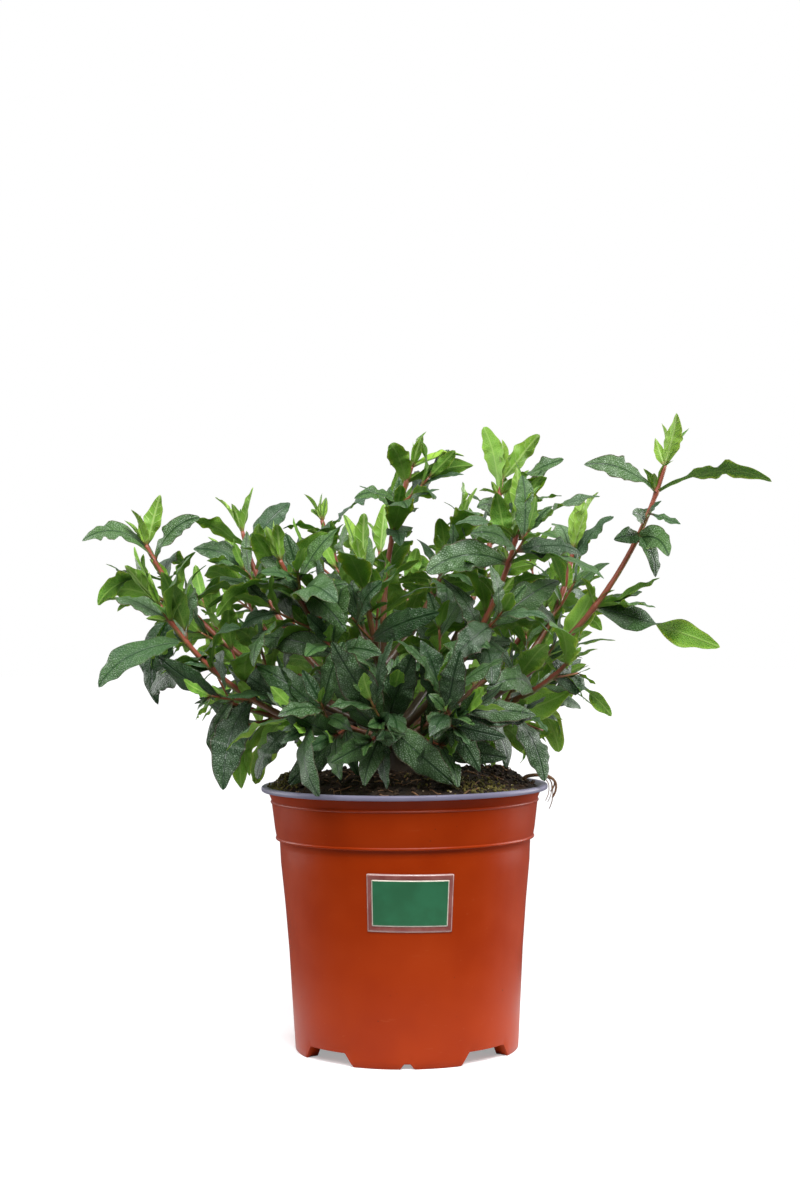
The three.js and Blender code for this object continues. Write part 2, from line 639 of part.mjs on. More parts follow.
function wallRadius(z) {
  const share = (z - BODY_FOOT.z) / (BODY_MIDDLE.z - BODY_FOOT.z);
  if (share < 1) return THREE.MathUtils.lerp(BODY_FOOT.radius, BODY_MIDDLE.radius, share);
  const above = (z - BODY_MIDDLE.z) / (BODY_TOP.z - BODY_MIDDLE.z);
  return THREE.MathUtils.lerp(BODY_MIDDLE.radius, BODY_TOP.radius, above);
}

// A thin plate wrapped on the pot's wall, standing off it by a distance.
function wrappedPlate({ width, height, thickness }, standOff) {
  const rings = [];
  const middle = THREE.MathUtils.degToRad(LABEL_TURN - 90);
  for (let i = 0; i <= LABEL_COLUMNS; i += 1) {
    const angle = middle + ((i / LABEL_COLUMNS - 0.5) * width) / wallRadius(LABEL_MIDDLE);
    const corner = (up, out) => {
      const z = LABEL_MIDDLE + (up * height) / 2;
      const r = wallRadius(z) + standOff + out;
      return new THREE.Vector3(r * Math.cos(angle), r * Math.sin(angle), z);
    };
    rings.push([corner(-1, 0), corner(1, 0), corner(1, thickness), corner(-1, thickness)]);
  }
  return geometryOf(solidOf(lofted(rings)));
}

function taper(path) {
  return (s) => THREE.MathUtils.lerp(LIMB_RADIUS, TIP_RADIUS, s / path.length);
}

// The short trunk: flared at the soil, forking into a stub for every limb that leaves it.
function makeTrunk(shoots) {
  const lean = TRUNK_TOP.clone().sub(TRUNK_FOOT);
  const rings = TRUNK_RADII.map((radius, k) => {
    const share = [0, 0.14, 0.4, 0.8, 1.06][k];
    return ringAround(TRUNK_FOOT.clone().addScaledVector(lean, share), UP, radius, 8);
  });
  const pieces = [solidOf(lofted(rings))];
  for (const shoot of shoots.filter((each) => each.parent === "trunk")) {
    pieces.push(solidOf(limb(shoot.path, 0, STUB_LENGTH, taper(shoot.path), LIMB_SIDES, 1)));
  }
  return geometryOf(largestShell(wasm.Manifold.union(pieces)));
}

// Where a side limb's flat end comes clear of its parent, whose sides are nearer its line than its corners.
function limbStart(shoot, byName) {
  if (shoot.parent === "trunk") return STUB_LENGTH + CLEARANCE;
  const parent = byName.get(shoot.parent);
  const parentLine = lineThrough(parent.path.points(LINE_STEPS * 4));
  const keep = taper(parent.path)(shoot.foot) * 0.93 + 0.2;
  let s = 1;
  const radiusAt = taper(shoot.path);
  while (ringAround(shoot.path.at(s), shoot.path.direction(s), radiusAt(s), 12)
    .some((point) => distanceToLine(point, parentLine) < keep)) s += 0.2;
  return s;
}

function makeBough(shoot, from) {
  return geometryOf(solidOf(limb(shoot.path, from, shoot.bare, taper(shoot.path), LIMB_SIDES, 3)));
}

// One mass of foliage: its stem, the stem's own leaves, and the twigs with their longest leaf each.
// A leaf that would cut through one already there is left out.
function makeFoliage(shoot, from, growth) {
  const path = shoot.path;
  const steps = Math.max(3, Math.round((path.length - from) / 26));
  const stem = solidOf(limb(path, from, path.length, taper(path), 4, steps));
  let leaves = wasm.Manifold.union([]);
  const free = (piece) => leaves.isEmpty() || piece.intersect(leaves).volume() < CROSSING_LIMIT;
  for (const blade of growth.blades) {
    const leaf = leafSolid(blade, LEAF_ROOT, blade.length > LONG_LEAF ? LEAF_STATIONS : SHORT_LEAF_STATIONS);
    if (free(leaf)) leaves = leaves.add(leaf);
  }
  for (const { path: twigPath, blades } of growth.twigs) {
    const blade = blades.reduce((best, each) => (each.length > best.length ? each : best), { length: 0 });
    if (blade.length < SHORTEST_TWIG_LEAF) continue;
    const twig = solidOf(limb(twigPath, 0, twigPath.length, () => TWIG_RADIUS, 3, 1))
      .add(leafSolid(blade, TWIG_LEAF_ROOT, SHORT_LEAF_STATIONS));
    if (free(twig)) leaves = leaves.add(twig);
  }
  return geometryOf(largestShell(stem.add(leaves)));
}

const group = new THREE.Group();

function add(name, geometry, material) {
  const mesh = new THREE.Mesh(geometry, material);
  mesh.name = name;
  group.add(mesh);
}

add("pot", makePot(), potPlastic);
add("soil", makeSoil(), soilEarth);
add("label_sleeve", wrappedPlate(SLEEVE_SIZE, CLEARANCE), sleevePlastic);
add("label_card", wrappedPlate(CARD_SIZE, 2 * CLEARANCE + SLEEVE_SIZE.thickness), cardPaper);

const byName = new Map();
for (const row of SHOOTS) {
  const start = row.parent === "trunk" ? trunkPoint(row.foot) : byName.get(row.parent).path.at(row.foot);
  const path = new Bend(start, new THREE.Vector3(...row.elbow), new THREE.Vector3(...row.tip));
  byName.set(row.name, { ...row, path });
}
const shoots = [...byName.values()];
const lines = new Map(shoots.map((shoot) => [shoot.name, shoot.path.points(LINE_STEPS)]));

add("trunk", makeTrunk(shoots), bark);
for (const shoot of shoots) {
  const start = limbStart(shoot, byName);
  const hasBough = shoot.bare > start + SHORTEST_BOUGH;
  if (hasBough) add(`bough_${shoot.name}`, makeBough(shoot, start), stemSkin);
  const leafyFrom = hasBough ? shoot.bare + CLEARANCE : start;
  add(`foliage_${shoot.name}`, makeFoliage(shoot, leafyFrom, grow(shoot, spaceOf(shoot, lines))), foliage);
}

export default group;
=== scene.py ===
"""A potted gum rockrose: narrow wavy leaves on red-brown stems, in a terracotta-coloured nursery pot of soil.

Sizes are millimetres until a mesh is made; Blender's are metres. The pot's axis is Z and its label faces -Y.
"""
import json
import math
from collections import namedtuple
import bpy
import numpy as np
from mathutils import Matrix, Vector

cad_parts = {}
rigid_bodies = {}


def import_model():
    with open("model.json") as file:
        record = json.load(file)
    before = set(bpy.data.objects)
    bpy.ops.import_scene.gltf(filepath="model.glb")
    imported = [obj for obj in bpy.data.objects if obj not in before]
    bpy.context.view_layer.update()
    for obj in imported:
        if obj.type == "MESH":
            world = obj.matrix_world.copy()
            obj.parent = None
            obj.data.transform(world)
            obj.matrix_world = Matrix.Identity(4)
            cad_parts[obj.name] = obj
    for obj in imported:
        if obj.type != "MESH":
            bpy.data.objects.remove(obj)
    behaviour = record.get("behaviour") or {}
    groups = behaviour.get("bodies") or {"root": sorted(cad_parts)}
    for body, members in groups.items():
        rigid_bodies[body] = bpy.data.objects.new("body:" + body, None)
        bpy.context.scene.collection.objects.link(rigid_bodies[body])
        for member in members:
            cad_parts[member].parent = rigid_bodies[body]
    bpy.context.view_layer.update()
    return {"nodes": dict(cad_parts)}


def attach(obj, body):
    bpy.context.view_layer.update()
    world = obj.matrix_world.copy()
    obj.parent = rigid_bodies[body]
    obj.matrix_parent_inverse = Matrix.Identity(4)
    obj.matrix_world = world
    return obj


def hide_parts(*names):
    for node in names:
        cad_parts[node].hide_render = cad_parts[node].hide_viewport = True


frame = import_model()

MM = 0.001
UP = np.array([0.0, 0.0, 1.0])
DEPTH = np.array([0.0, 1.0, 0.0])
FRONT = -DEPTH
FLOOR_REACH = 9000.0

# Pot
POT_HEIGHT = 174.0
LIP_RADIUS = 95.0
FLOOR_UNDERSIDE = 9.2
FLOOR_THICKNESS = 2.0
HUB_RADIUS = 14.0
FOOT_RADIUS = 73.9
FOOT_INSIDE = 64.1
# Cuts in the foot ring: their widths at the bottom and at the top, and their height.
FOOT_GAP = {"bottom": 43.0, "top": 32.0, "height": 8.3}
FOOT_DRAIN = {"bottom": 8.6, "top": 4.4, "height": 3.2}
DRAIN_HOLES = {"count": 4, "ring": 42.0, "radius": 4.5}
# Points of the section as radius and height: up the wall's outside to the ridge under the collar, on to the
# second ridge and the lip's underside, round the lip, and down the lining to the floor.
WALL_OUTSIDE = [(74.7, 14), (77.5, 65.7), (79.9, 96.7), (82.55, 124), (83.2, 138.3)]
COLLAR = [
    (83.5, 138.9), (85.1, 138.9), (85.65, 139.2), (85.85, 139.75), (85.7, 140.3), (85.3, 140.75),
    (85.45, 141.8), (86.2, 146), (88.1, 161.6), (88.25, 162.7), (88.85, 163.1), (89.1, 163.65),
    (88.9, 164.2), (88.45, 164.6), (88.65, 165.6), (90.2, 169.2), (90.6, 170.5),
]
LIP = [
    (94.2, 170.7), (94.8, 171.1), (LIP_RADIUS, 171.8), (LIP_RADIUS, 172.9), (94.7, 173.6), (94.1, POT_HEIGHT),
    (91.6, POT_HEIGHT), (90.7, 173.7), (89.3, 172.2), (87.8, 170.6),
]
LINING = [(86.8, 164), (83.7, 141.2), (81.6, 138.8), (78.3, 96.7), (72.8, FLOOR_UNDERSIDE + FLOOR_THICKNESS)]

# Soil
# The soil's edge lies at SOIL_EDGE, higher behind and lower in front by SOIL_EDGE_TILT.
SOIL_REACH = 88.0
SOIL_EDGE = 172.5
SOIL_EDGE_TILT = 2.5
SOIL_CREST = 183.0
SOIL_BOTTOM = 11.6
# Heaps on the soil: the middle's x and y, how far they spread, and their height.
HEAPS = [(-80, -12, 18, 6.0), (66, 42, 20, 4.0)]
CRUMBS = 2600
CRUMB_REACH = 86.5
GRIT_SHARE = 0.035
LARGEST_GRIT = 1.0
FIBRES = 190
# Moss lies in two places: the middle's x and y, how far it spreads along them, and how far out it reaches.
MOSS_TUFTS = 420
MOSS_PLACES = [(-84, -14, 9, 15, 91), (52, -56, 20, 12, 85)]
# Roots at the right rim: where round the pot, how far out, how far down and how thick.
ROOTS = [(-6, 6, 12, 1.4), (-9, 4, 19, 0.6), (-3, 5, 8, 1.0), (-12, 2, 13, 0.5), (-4, 3, 15, 0.45)]

# Label
LABEL_MIDDLE = 105.5
LABEL_TURN = 2.0
LABEL_LEAN = math.radians(-1.0)
SLEEVE = {"width": 55.0, "height": 37.0, "corner": 1.2}
CARD = {"width": 48.5, "height": 29.5, "corner": 0.6}

# Trunk and limbs
TRUNK_FOOT = np.array([-3.0, 2.0, SOIL_CREST])
TRUNK_TOP = np.array([-7.0, 0.0, 214.0])
TRUNK_SIDES = 28
LIMB_SIDES = 10
TWIG_SIDES = 6
LIMB_RADIUS = 2.7
TIP_RADIUS = 1.45
TWIG_RADIUS = 0.9

# Leaves. Those below RIPE_HEIGHT have ripened further, so more of them take the old leaves' skin, whose dark
# green is partly their own and partly painted shade of the low crown; tufts above YOUNG_TUFTS are still
# young.
# A leaf inside the crown may be longer by the first factor that fits: of FULLER, by its age, or of
# FULLER_ABOVE where its tip is above UPPER_CROWN.
RIPE_HEIGHT = 262.0
YOUNG_TUFTS = 277.0
CROWN_MIDDLE = np.array([5.0, 8.0, 290.0])
UPPER_CROWN = 305.0
FULLER = [(), (1.15,), (1.4, 1.25, 1.1), (1.6, 1.45, 1.3, 1.15), (1.6, 1.45, 1.3, 1.15)]
FULLER_ABOVE = (1.15, 1.05)
LONGEST_LEAF = 62.0
BROADEST_LEAF = 23.0
SMALL_LEAF = 30.0
# How many rows of points a leaf has, and its shape: a factor on its width, and its margins' waves, the rise
# of its halves and their curl down as shares of its half width.
STATIONS = {"large": 32, "small": 15, "tuft": 8}
YOUNG_SHAPE = {"width": 0.96, "wave": 0.2, "fold": 0.6, "curl": 0.2}
GROWN_SHAPE = {"width": 0.98, "wave": 0.26, "fold": 0.36, "curl": 0.32}
OLD_SHAPE = {"width": 0.96, "wave": 0.25, "fold": 0.28, "curl": 0.4}
# The pattern of a leaf: its midrib's half width, the gap between side veins, and the cells of the net.
MIDRIB_MM = 1.0
SIDE_VEIN_GAP_MM = 5.5
NET_CELLS_PER_MM = 0.66

# Growth, as in the part's source. A pair's age counts from the shoot's tip. It gives the size of its leaves,
# the degrees at which they leave the stem and by which they turn back, and how much they sag. A leaf that
# doesn't fit tries shares of its angle and its size. A shoot's gap is that between its first two pairs.
Age = namedtuple("Age", "size angle bend sag")
AGES = [
    Age(0.52, 12, 4, 0), Age(0.86, 44, 40, 0.12), Age(1.0, 58, 56, 0.3), Age(1.0, 66, 60, 0.45),
    Age(0.96, 70, 56, 0.55), Age(0.88, 74, 50, 0.6), Age(0.8, 76, 46, 0.6),
]
TWIG_AGES = [Age(0.34, 16, 6, 0.02), Age(0.5, 32, 24, 0.1), Age(0.58, 48, 38, 0.2), Age(0.6, 58, 42, 0.3)]
SECOND_TRIES = [(1, 1), (0.78, 0.9), (0.55, 0.8), (1.15, 0.66), (0.8, 0.55)]
LONGEST_GAP = 38
GAP_REACH = 2.9
TWIG_CHANCE = 0.5
TWIG_ANGLE = math.radians(38)
TWIG_GAP = 7.0
TWIG_STRETCH = 1.4
LEAF_STEPS = 12
# By how much a leaf is nearer to its own shoot than to any other, and how far it keeps from its own bare limb
# and from the trunk.
SPACE_MARGIN = 1.6
LIMB_MARGIN = 4.2
TRUNK_MARGIN = 9.5
LINE_STEPS = 24

# A shoot goes from its foot, a height on the trunk or a length along its parent, by its elbow to its tip. It
# has a length of bare limb, the length of a full-grown leaf, the roll of its first pair in degrees, its first
# gap between pairs and how much longer each next one is, a seed for its draws, the ages by which its first
# pair is ahead, and a factor on its leaves' bend and sag. Most tips and elbows were read from the photograph
# at guessed depths and turned to millimetres by a scratch program. The rolls, the seeds and the factors were
# picked by a scratch search for leaves that fall much as they do there.
Shoot = namedtuple("Shoot", "name tip elbow parent foot bare leaf roll gap stretch seed old droop")
SHOOTS = [
    Shoot("far_left", (-172, 12, 335), (-132, 12, 252), "trunk", 207, 62, 60, 60, 12, 1.4, 73, 0, 1.15),
    Shoot("left_front", (-156, -48, 294), (-109, -40, 213), "trunk", 201, 54, 64, 40, 12, 1.4, 181, 0, 0.7),
    Shoot("left_back", (-110, 48, 345), (-88, 40, 260), "trunk", 210, 50, 58, 150, 12, 1.4, 557, 0, 0.5),
    Shoot("left_inner", (-78, -60, 322), (-50, -50, 261), "trunk", 208, 40, 70, 100, 12, 1.4, 307, 0, 1.15),
    Shoot("top_left", (7, 8, 386), (-25, 10, 297), "trunk", 211, 52, 64, 170, 11, 1.4, 160, 0, 0.85),
    Shoot("top_back", (71, 90, 382), (58, 80, 282), "trunk", 209, 56, 62, 50, 11, 1.4, 123, 0, 0.7),
    Shoot("right_front", (76, -50, 347), (56, -50, 260), "trunk", 207, 42, 68, 110, 12, 1.4, 349, 0, 1.0),
    Shoot("far_right", (175, -5, 384), (133, -5, 246), "trunk", 203, 74, 84, 90, 18, 1.9, 66, 0, 0.85),
    Shoot("back_left", (-119, 100, 316), (-80, 84, 230), "trunk", 202, 56, 62, 150, 12, 1.4, 727, 0, 1.15),
    Shoot("back", (-16, 122, 332), (-14, 92, 240), "trunk", 204, 54, 62, 120, 12, 1.4, 811, 0, 1.0),
    Shoot("back_right", (110, 112, 318), (77, 92, 237), "trunk", 201, 58, 62, 10, 12, 1.4, 97, 0, 1.0),
    Shoot("foot_left", (-58, -68, 219), (-33, -50, 218), "trunk", 197, 14, 68, 50, 12, 1.4, 59, 2, 1.0),
    Shoot("foot_front", (-14, -86, 220), (-10, -50, 218), "trunk", 199, 14, 68, 50, 12, 1.4, 195, 2, 0.5),
    Shoot("foot_right", (29, -78, 223), (13, -50, 218), "trunk", 197, 14, 68, 70, 12, 1.4, 193, 2, 0.7),
    Shoot("foot_back", (25, 74, 222), (7, 50, 213), "trunk", 198, 14, 66, 140, 12, 1.4, 127, 2, 1.15),
    Shoot("right_inner", (117, 38, 331), (107, 34, 268), "far_right", 62, 20, 60, 20, 12, 1.4, 837, 0, 0.85),
    Shoot("low_right", (105, -46, 254), (80, -40, 227), "far_right", 44, 18, 66, 70, 12, 1.4, 698, 1, 0.85),
    Shoot("hang_right", (90, 34, 217), (72, 28, 213), "far_right", 34, 16, 62, 60, 14, 1.4, 414, 2, 1.0),
    Shoot("low_left", (-113, -14, 229), (-75, -10, 216), "left_front", 34, 18, 64, 20, 12, 1.4, 470, 2, 1.0),
    Shoot("crown_left", (-55, 44, 352), (-36, 36, 290), "top_left", 36, 20, 56, 100, 11, 1.4, 63, 0, 1.15),
    Shoot("crown_mid", (-26, -44, 314), (-20, -40, 270), "top_left", 24, 16, 62, 160, 11, 1.4, 338, 0, 0.5),
    Shoot("crown_right", (38, 20, 345), (22, 24, 290), "top_left", 42, 18, 58, 0, 11, 1.4, 22, 0, 1.15),
    Shoot("low_back", (12, 124, 245), (0, 96, 217), "back", 44, 16, 64, 0, 12, 1.4, 461, 2, 0.5),
    Shoot("low_back_left", (-95, 60, 242), (-61, 56, 220), "back_left", 40, 16, 64, 30, 12, 1.4, 727, 1, 0.7),
    Shoot("low_back_right", (110, 84, 242), (76, 70, 221), "back_right", 42, 16, 64, 10, 12, 1.4, 227, 1,
          0.85),
]

# The photograph: its size and its lens's focal length in pixels, and where the camera stood and how it was
# turned from looking straight down.
PHOTO_SIZE = (800, 1200)
FOCAL_PIXELS = 2094
CAMERA_AT = np.array([-1.8, -1394.0, 285.7])
CAMERA_TURN = Matrix.Rotation(math.radians(90.44), 4, "X") @ Matrix.Rotation(math.radians(-0.55), 4, "Z")

# Leaves that show in the photograph's outline, by their number on the shoot: the column and row of the
# photograph's pixel where the tip goes, its y in millimetres, and the degrees by which the upper side is
# rolled from the front at the base and at the tip. A last number scales the leaf's own arch. Most pixels
# were read off the photograph, and seven were worked out from places that had been tried in millimetres.
POSED = {
    "far_left": {0: (133, 508, 4, 130, 120), 1: (160, 495, 14, 150, 170), 2: (199, 517, 0, 60, 20, 1.5),
        3: (80, 539, 20, 70, 45, 1.6), 5: (97, 605, -12, 95, 130), 6: (150, 703, 5, 20, 30),
        7: (108, 561, 26, 60, 90)},
    "left_front": {9: (95, 683, -62, 55, 35), 12: (223, 790, -60, 0, 0), 14: (196, 709, -52, 40, 60),
        17: (213, 732, -45, 30, 10)},
    "left_back": {0: (253, 487, 47, 120, 100), 2: (291, 501, 60, 40, 5), 3: (194, 515, 40, 120, 140),
        4: (191, 547, 55, 40, 15)},
    "left_inner": {0: (277, 522, -70, 170, 180), 1: (266, 526, -66, 140, 160), 2: (337, 533, -66, 150, 150),
        3: (214, 616, -72, 80, 125)},
    "top_left": {0: (463, 450, 8, 60, 80), 1: (422, 430, 6, 100, 80), 2: (472, 464, 15, 110, 150),
        3: (386, 440, -20, 160, 170), 4: (353, 496, 10, 60, 40)},
    "top_back": {1: (538, 434, 92, 150, 160), 2: (563, 458, 75, 130, 40), 3: (484, 427, 100, 115, 150),
        11: (482, 505, 52, 10, 0)},
    "right_front": {0: (531, 491, -62, 110, 90), 1: (517, 469, -45, 165, 175), 2: (600, 494, -45, 115, 70),
        3: (455, 520, -60, 100, 60), 4: (427, 573, -62, 15, 10), 9: (605, 578, -62, 110, 70)},
    "far_right": {1: (655, 439, 0, 180, 180), 2: (773, 474, -8, 104, 112), 3: (586, 462, -22, 65, 20, 1.4),
        4: (668, 553, -45, 0, 0), 5: (660, 500, -26, 60, 60), 6: (681, 524, -17, 60, 50),
        7: (634, 513, -40, 20, 20),
        8: (652, 504, 12, 60, 60), 9: (659, 575, -30, 40, 40), 10: (616, 539, -35, 20, 0),
        11: (721, 646, -20, 25, 165, 0.1), 14: (614, 634, -5, 96, 96), 17: (578, 694, 5, 40, 60)},
    "right_inner": {0: (583, 496, 38, 180, 180), 1: (592, 490, 42, 120, 100), 2: (609, 512, 45, 60, 60),
        4: (590, 612, 85, 20, 120), 9: (608, 559, 34, 60, 60)},
    "low_right": {1: (612, 716, -55, 20, 140), 2: (590, 668, -56, 90, 90), 3: (596, 684, -52, 120, 120),
        4: (585, 700, -62, 90, 90), 5: (588, 664, -40, 90, 90), 11: (546, 781, -45, 70, 30)},
    "hang_right": {4: (564, 739, 16, 60, 120), 10: (548, 741, 24, 60, 120), 11: (530, 749, 48, 170, 170)},
    "low_back_right": {0: (572, 698, 104, 60, 120), 1: (573, 681, 60, 60, 120), 2: (559, 752, 80, 165, 175)},
    "crown_left": {0: (326, 497, 45, 20, 10), 1: (311, 508, 53, 60, 20)},
    "foot_front": {0: (455, 786, -76, 20, 0)},
    "foot_left": {20: (288, 786, -48, 20, 0)},
    "foot_right": {9: (480, 772, -82, 10, 0)},
    "low_left": {0: (215, 760, -26, 30, 10), 6: (210, 738, -28, 20, 20), 7: (212, 745, -16, 20, 20),
        9: (242, 789, -22, 165, 180)},
}
# Leaves of tufts that have opened out, in the same way. Their pixels were worked out from tried places too.
OPENED = {
    "far_right": {12: (657, 574, -10, 110, 110), 11: (656, 607, -20, 110, 80), 14: (642, 590, 4, 60, 60)},
}
# Leaves left out where the photograph shows sky.
SKY = {"hang_right": (0, 1, 2, 8, 9), "low_right": (15,), "right_inner": (17, 18)}


def seeded(seed):
    """Draws from 0 to 1 by a small integer mixer, the same ones in every program."""
    state = seed & 0xFFFFFFFF

    def draw():
        """The next draw."""
        nonlocal state
        state = (state + 0x6D2B79F5) & 0xFFFFFFFF
        mixed = ((state ^ (state >> 15)) * (state | 1)) & 0xFFFFFFFF
        mixed ^= (mixed + (((mixed ^ (mixed >> 7)) * (mixed | 61)) & 0xFFFFFFFF)) & 0xFFFFFFFF
        return ((mixed ^ (mixed >> 14)) & 0xFFFFFFFF) / 4294967296

    return draw


def unit(v):
    """A vector, or each row of them, scaled to length one."""
    return v / np.linalg.norm(v, axis=-1, keepdims=True)


def smoothstep(low, high, x):
    """0 below low, 1 above high, and between them three squares less two cubes of the share of the way."""
    t = np.clip((x - low) / (high - low), 0, 1)
    return t * t * (3 - 2 * t)


def lattice(ix, iy, iz, seed):
    """A fixed random value from 0 to 1 for each whole-numbered lattice point."""
    h = (ix * 374761393 + iy * 668265263 + iz * 2147483647 + seed * 144665) & 0xFFFFFFFF
    h = ((h ^ (h >> 13)) * 1274126177) & 0xFFFFFFFF
    return ((h ^ (h >> 16)) & 0xFFFF) / 65535.0


def noise(points, size, seed=0):
    """Value noise from -1 to 1: lattice values size apart, blended smoothly along the three axes."""
    q = np.asarray(points, float) / size
    cell = np.floor(q).astype(np.int64)
    f = q - cell
    f = f * f * (3 - 2 * f)
    total = 0.0
    for corner in range(8):
        step = np.array([corner & 1, corner >> 1 & 1, corner >> 2 & 1])
        weight = np.prod(np.where(step == 1, f, 1 - f), axis=-1)
        k = cell + step
        total = total + weight * lattice(k[..., 0], k[..., 1], k[..., 2], seed)
    return 2 * total - 1


# Growth

class Bend:
    """A path from a start by an elbow to a tip: the quadratic Bezier curve on them, measured by length."""

    def __init__(self, start, elbow, tip):
        """Measures the curve along 64 short chords."""
        self.start, self.elbow, self.tip = (np.array(p, float) for p in (start, elbow, tip))
        self.t = np.linspace(0, 1, 65)
        gaps = np.linalg.norm(np.diff(self.at_share(self.t), axis=0), axis=1)
        self.s = np.concatenate([[0], np.cumsum(gaps)])
        self.length = self.s[-1]

    def at_share(self, t):
        """The start, the elbow and the tip in shares of (1-t) squared, 2 t (1-t) and t squared."""
        t = np.asarray(t)[..., None]
        return (1 - t) ** 2 * self.start + 2 * t * (1 - t) * self.elbow + t * t * self.tip

    def at(self, s):
        """The point at a distance along the path."""
        return self.at_share(np.interp(s, self.s, self.t))

    def direction(self, s):
        """The unit direction at a distance along the path, between the way to the elbow and the way on."""
        t = np.interp(s, self.s, self.t)
        t = t[..., None] if np.ndim(s) else t
        return unit((1 - t) * (self.elbow - self.start) + t * (self.tip - self.elbow))


def distance_to(points, starts, spans):
    """The distance from each point to the nearest of the segments that go from starts by spans."""
    away = points[:, None, :] - starts[None]
    share = np.clip((away * spans[None]).sum(-1) / (spans * spans).sum(-1)[None], 0, 1)
    rest = away - share[..., None] * spans[None]
    return np.sqrt((rest * rest).sum(-1)).min(axis=1)


def segments(line):
    """The starts of a line's segments, and the ways that they go."""
    return line[:-1], line[1:] - line[:-1]


def soil_height(x, y):
    """Soil rises from its edge to the crest by one less the cube of the share of the way out."""
    out = np.minimum(np.hypot(x, y) / SOIL_REACH, 1)
    edge = SOIL_EDGE + SOIL_EDGE_TILT * y / SOIL_REACH
    return edge + (SOIL_CREST - edge) * (1 - out ** 3)


def lowest_leaf(points):
    """How low a leaf may hang at each point: just over the soil inside the pot, just over the lip near it,
    and a little below the lip further out."""
    out = np.hypot(points[:, 0], points[:, 1])
    over_soil = soil_height(points[:, 0], points[:, 1]) + 2.5
    over_rim = np.where(out < LIP_RADIUS + 5, POT_HEIGHT + 3, POT_HEIGHT - 8)
    return np.where(out < SOIL_REACH - 2, over_soil, over_rim)


def trunk_point(height):
    """The point of the trunk's straight axis at a height."""
    share = (height - TRUNK_FOOT[2]) / (TRUNK_TOP[2] - TRUNK_FOOT[2])
    return TRUNK_FOOT + share * (TRUNK_TOP - TRUNK_FOOT)


def leaf_outline(u):
    """A leaf's half width at the share u of its length: a narrow base that fades out, and a sine hump that is
    fullest before its middle."""
    return 0.16 * (1 - u) ** 2 + np.maximum(np.sin(np.pi * u ** 0.92), 0) ** 1.1


def leaf_blade(root, tangent, radial, length, width, angle, bend, sag, twist):
    """A leaf's midrib, sideways directions and faces at each step. The midrib leaves the stem at an angle,
    turns back by bend over its length and sags under its weight, and the blade twists evenly round it."""
    u = (np.arange(LEAF_STEPS) + 0.5) / LEAF_STEPS
    turn = (angle + bend * u)[:, None]
    directions = unit(np.cos(turn) * tangent + np.sin(turn) * radial - (sag * u)[:, None] * UP)
    rib = np.concatenate([[root], root + np.cumsum(directions, axis=0) * length / LEAF_STEPS])
    normal = math.sin(angle) * tangent - math.cos(angle) * radial
    across, faces = [], []
    for i in range(LEAF_STEPS + 1):
        along = unit(directions[max(i - 1, 0)] + directions[min(i, LEAF_STEPS - 1)])
        normal = unit(normal - (normal @ along) * along)
        side = np.cross(along, normal)
        roll = twist * i / LEAF_STEPS
        across.append(math.cos(roll) * side + math.sin(roll) * normal)
        faces.append(math.cos(roll) * normal - math.sin(roll) * side)
    return {"rib": rib, "across": np.array(across), "faces": np.array(faces), "width": width,
            "length": length}


def blade_test_points(blade):
    """The points of a blade that have to fit: margins and midrib from a third of its length on."""
    u = np.linspace(0, 1, LEAF_STEPS + 1)
    half = (leaf_outline(u) * blade["width"] / 2)[:, None]
    left, right = blade["rib"] + blade["across"] * half, blade["rib"] - blade["across"] * half
    return np.concatenate([left[4:11:2], right[4:11:2], blade["rib"][4::2]])


def space_of(shoot, lines, paths):
    """A test of points against one shoot's own space: nearer to its own line than to any other shoot's by
    the margin, clear of its own bare limb and of the trunk, and above soil and rim."""
    others = [segments(line) for name, line in lines.items() if name != shoot.name]
    other = [np.concatenate(part) for part in zip(*others)]
    own = segments(lines[shoot.name])
    bare = segments(paths[shoot.name].at(np.linspace(0, max(shoot.bare - 1.5, 2), 12)))
    trunk = segments(np.array([TRUNK_FOOT, TRUNK_TOP]))

    def fits(points):
        """Whether all points lie in the shoot's own space."""
        return (np.all(points[:, 2] >= lowest_leaf(points))
                and np.all(distance_to(points, *trunk) >= TRUNK_MARGIN)
                and np.all(distance_to(points, *bare) >= LIMB_MARGIN)
                and np.all(distance_to(points, *other) - distance_to(points, *own) >= SPACE_MARGIN))

    return fits


def add_leaf(leaves, fits, age, root, tangent, radial, length, width, angle, bend, sag, twist):
    """Adds a leaf, turned in or smaller where it doesn't fit at first, or skips it."""
    for turn, scale in SECOND_TRIES:
        blade = leaf_blade(root, tangent, radial, length * scale, width * scale, angle * turn, bend, sag,
                           twist)
        if fits(blade_test_points(blade)):
            leaves.append({**blade, "age": age})
            return


def radial_at(u, v, degrees):
    """The direction at an angle from u towards v, which are square to each other."""
    return math.cos(math.radians(degrees)) * u + math.sin(math.radians(degrees)) * v


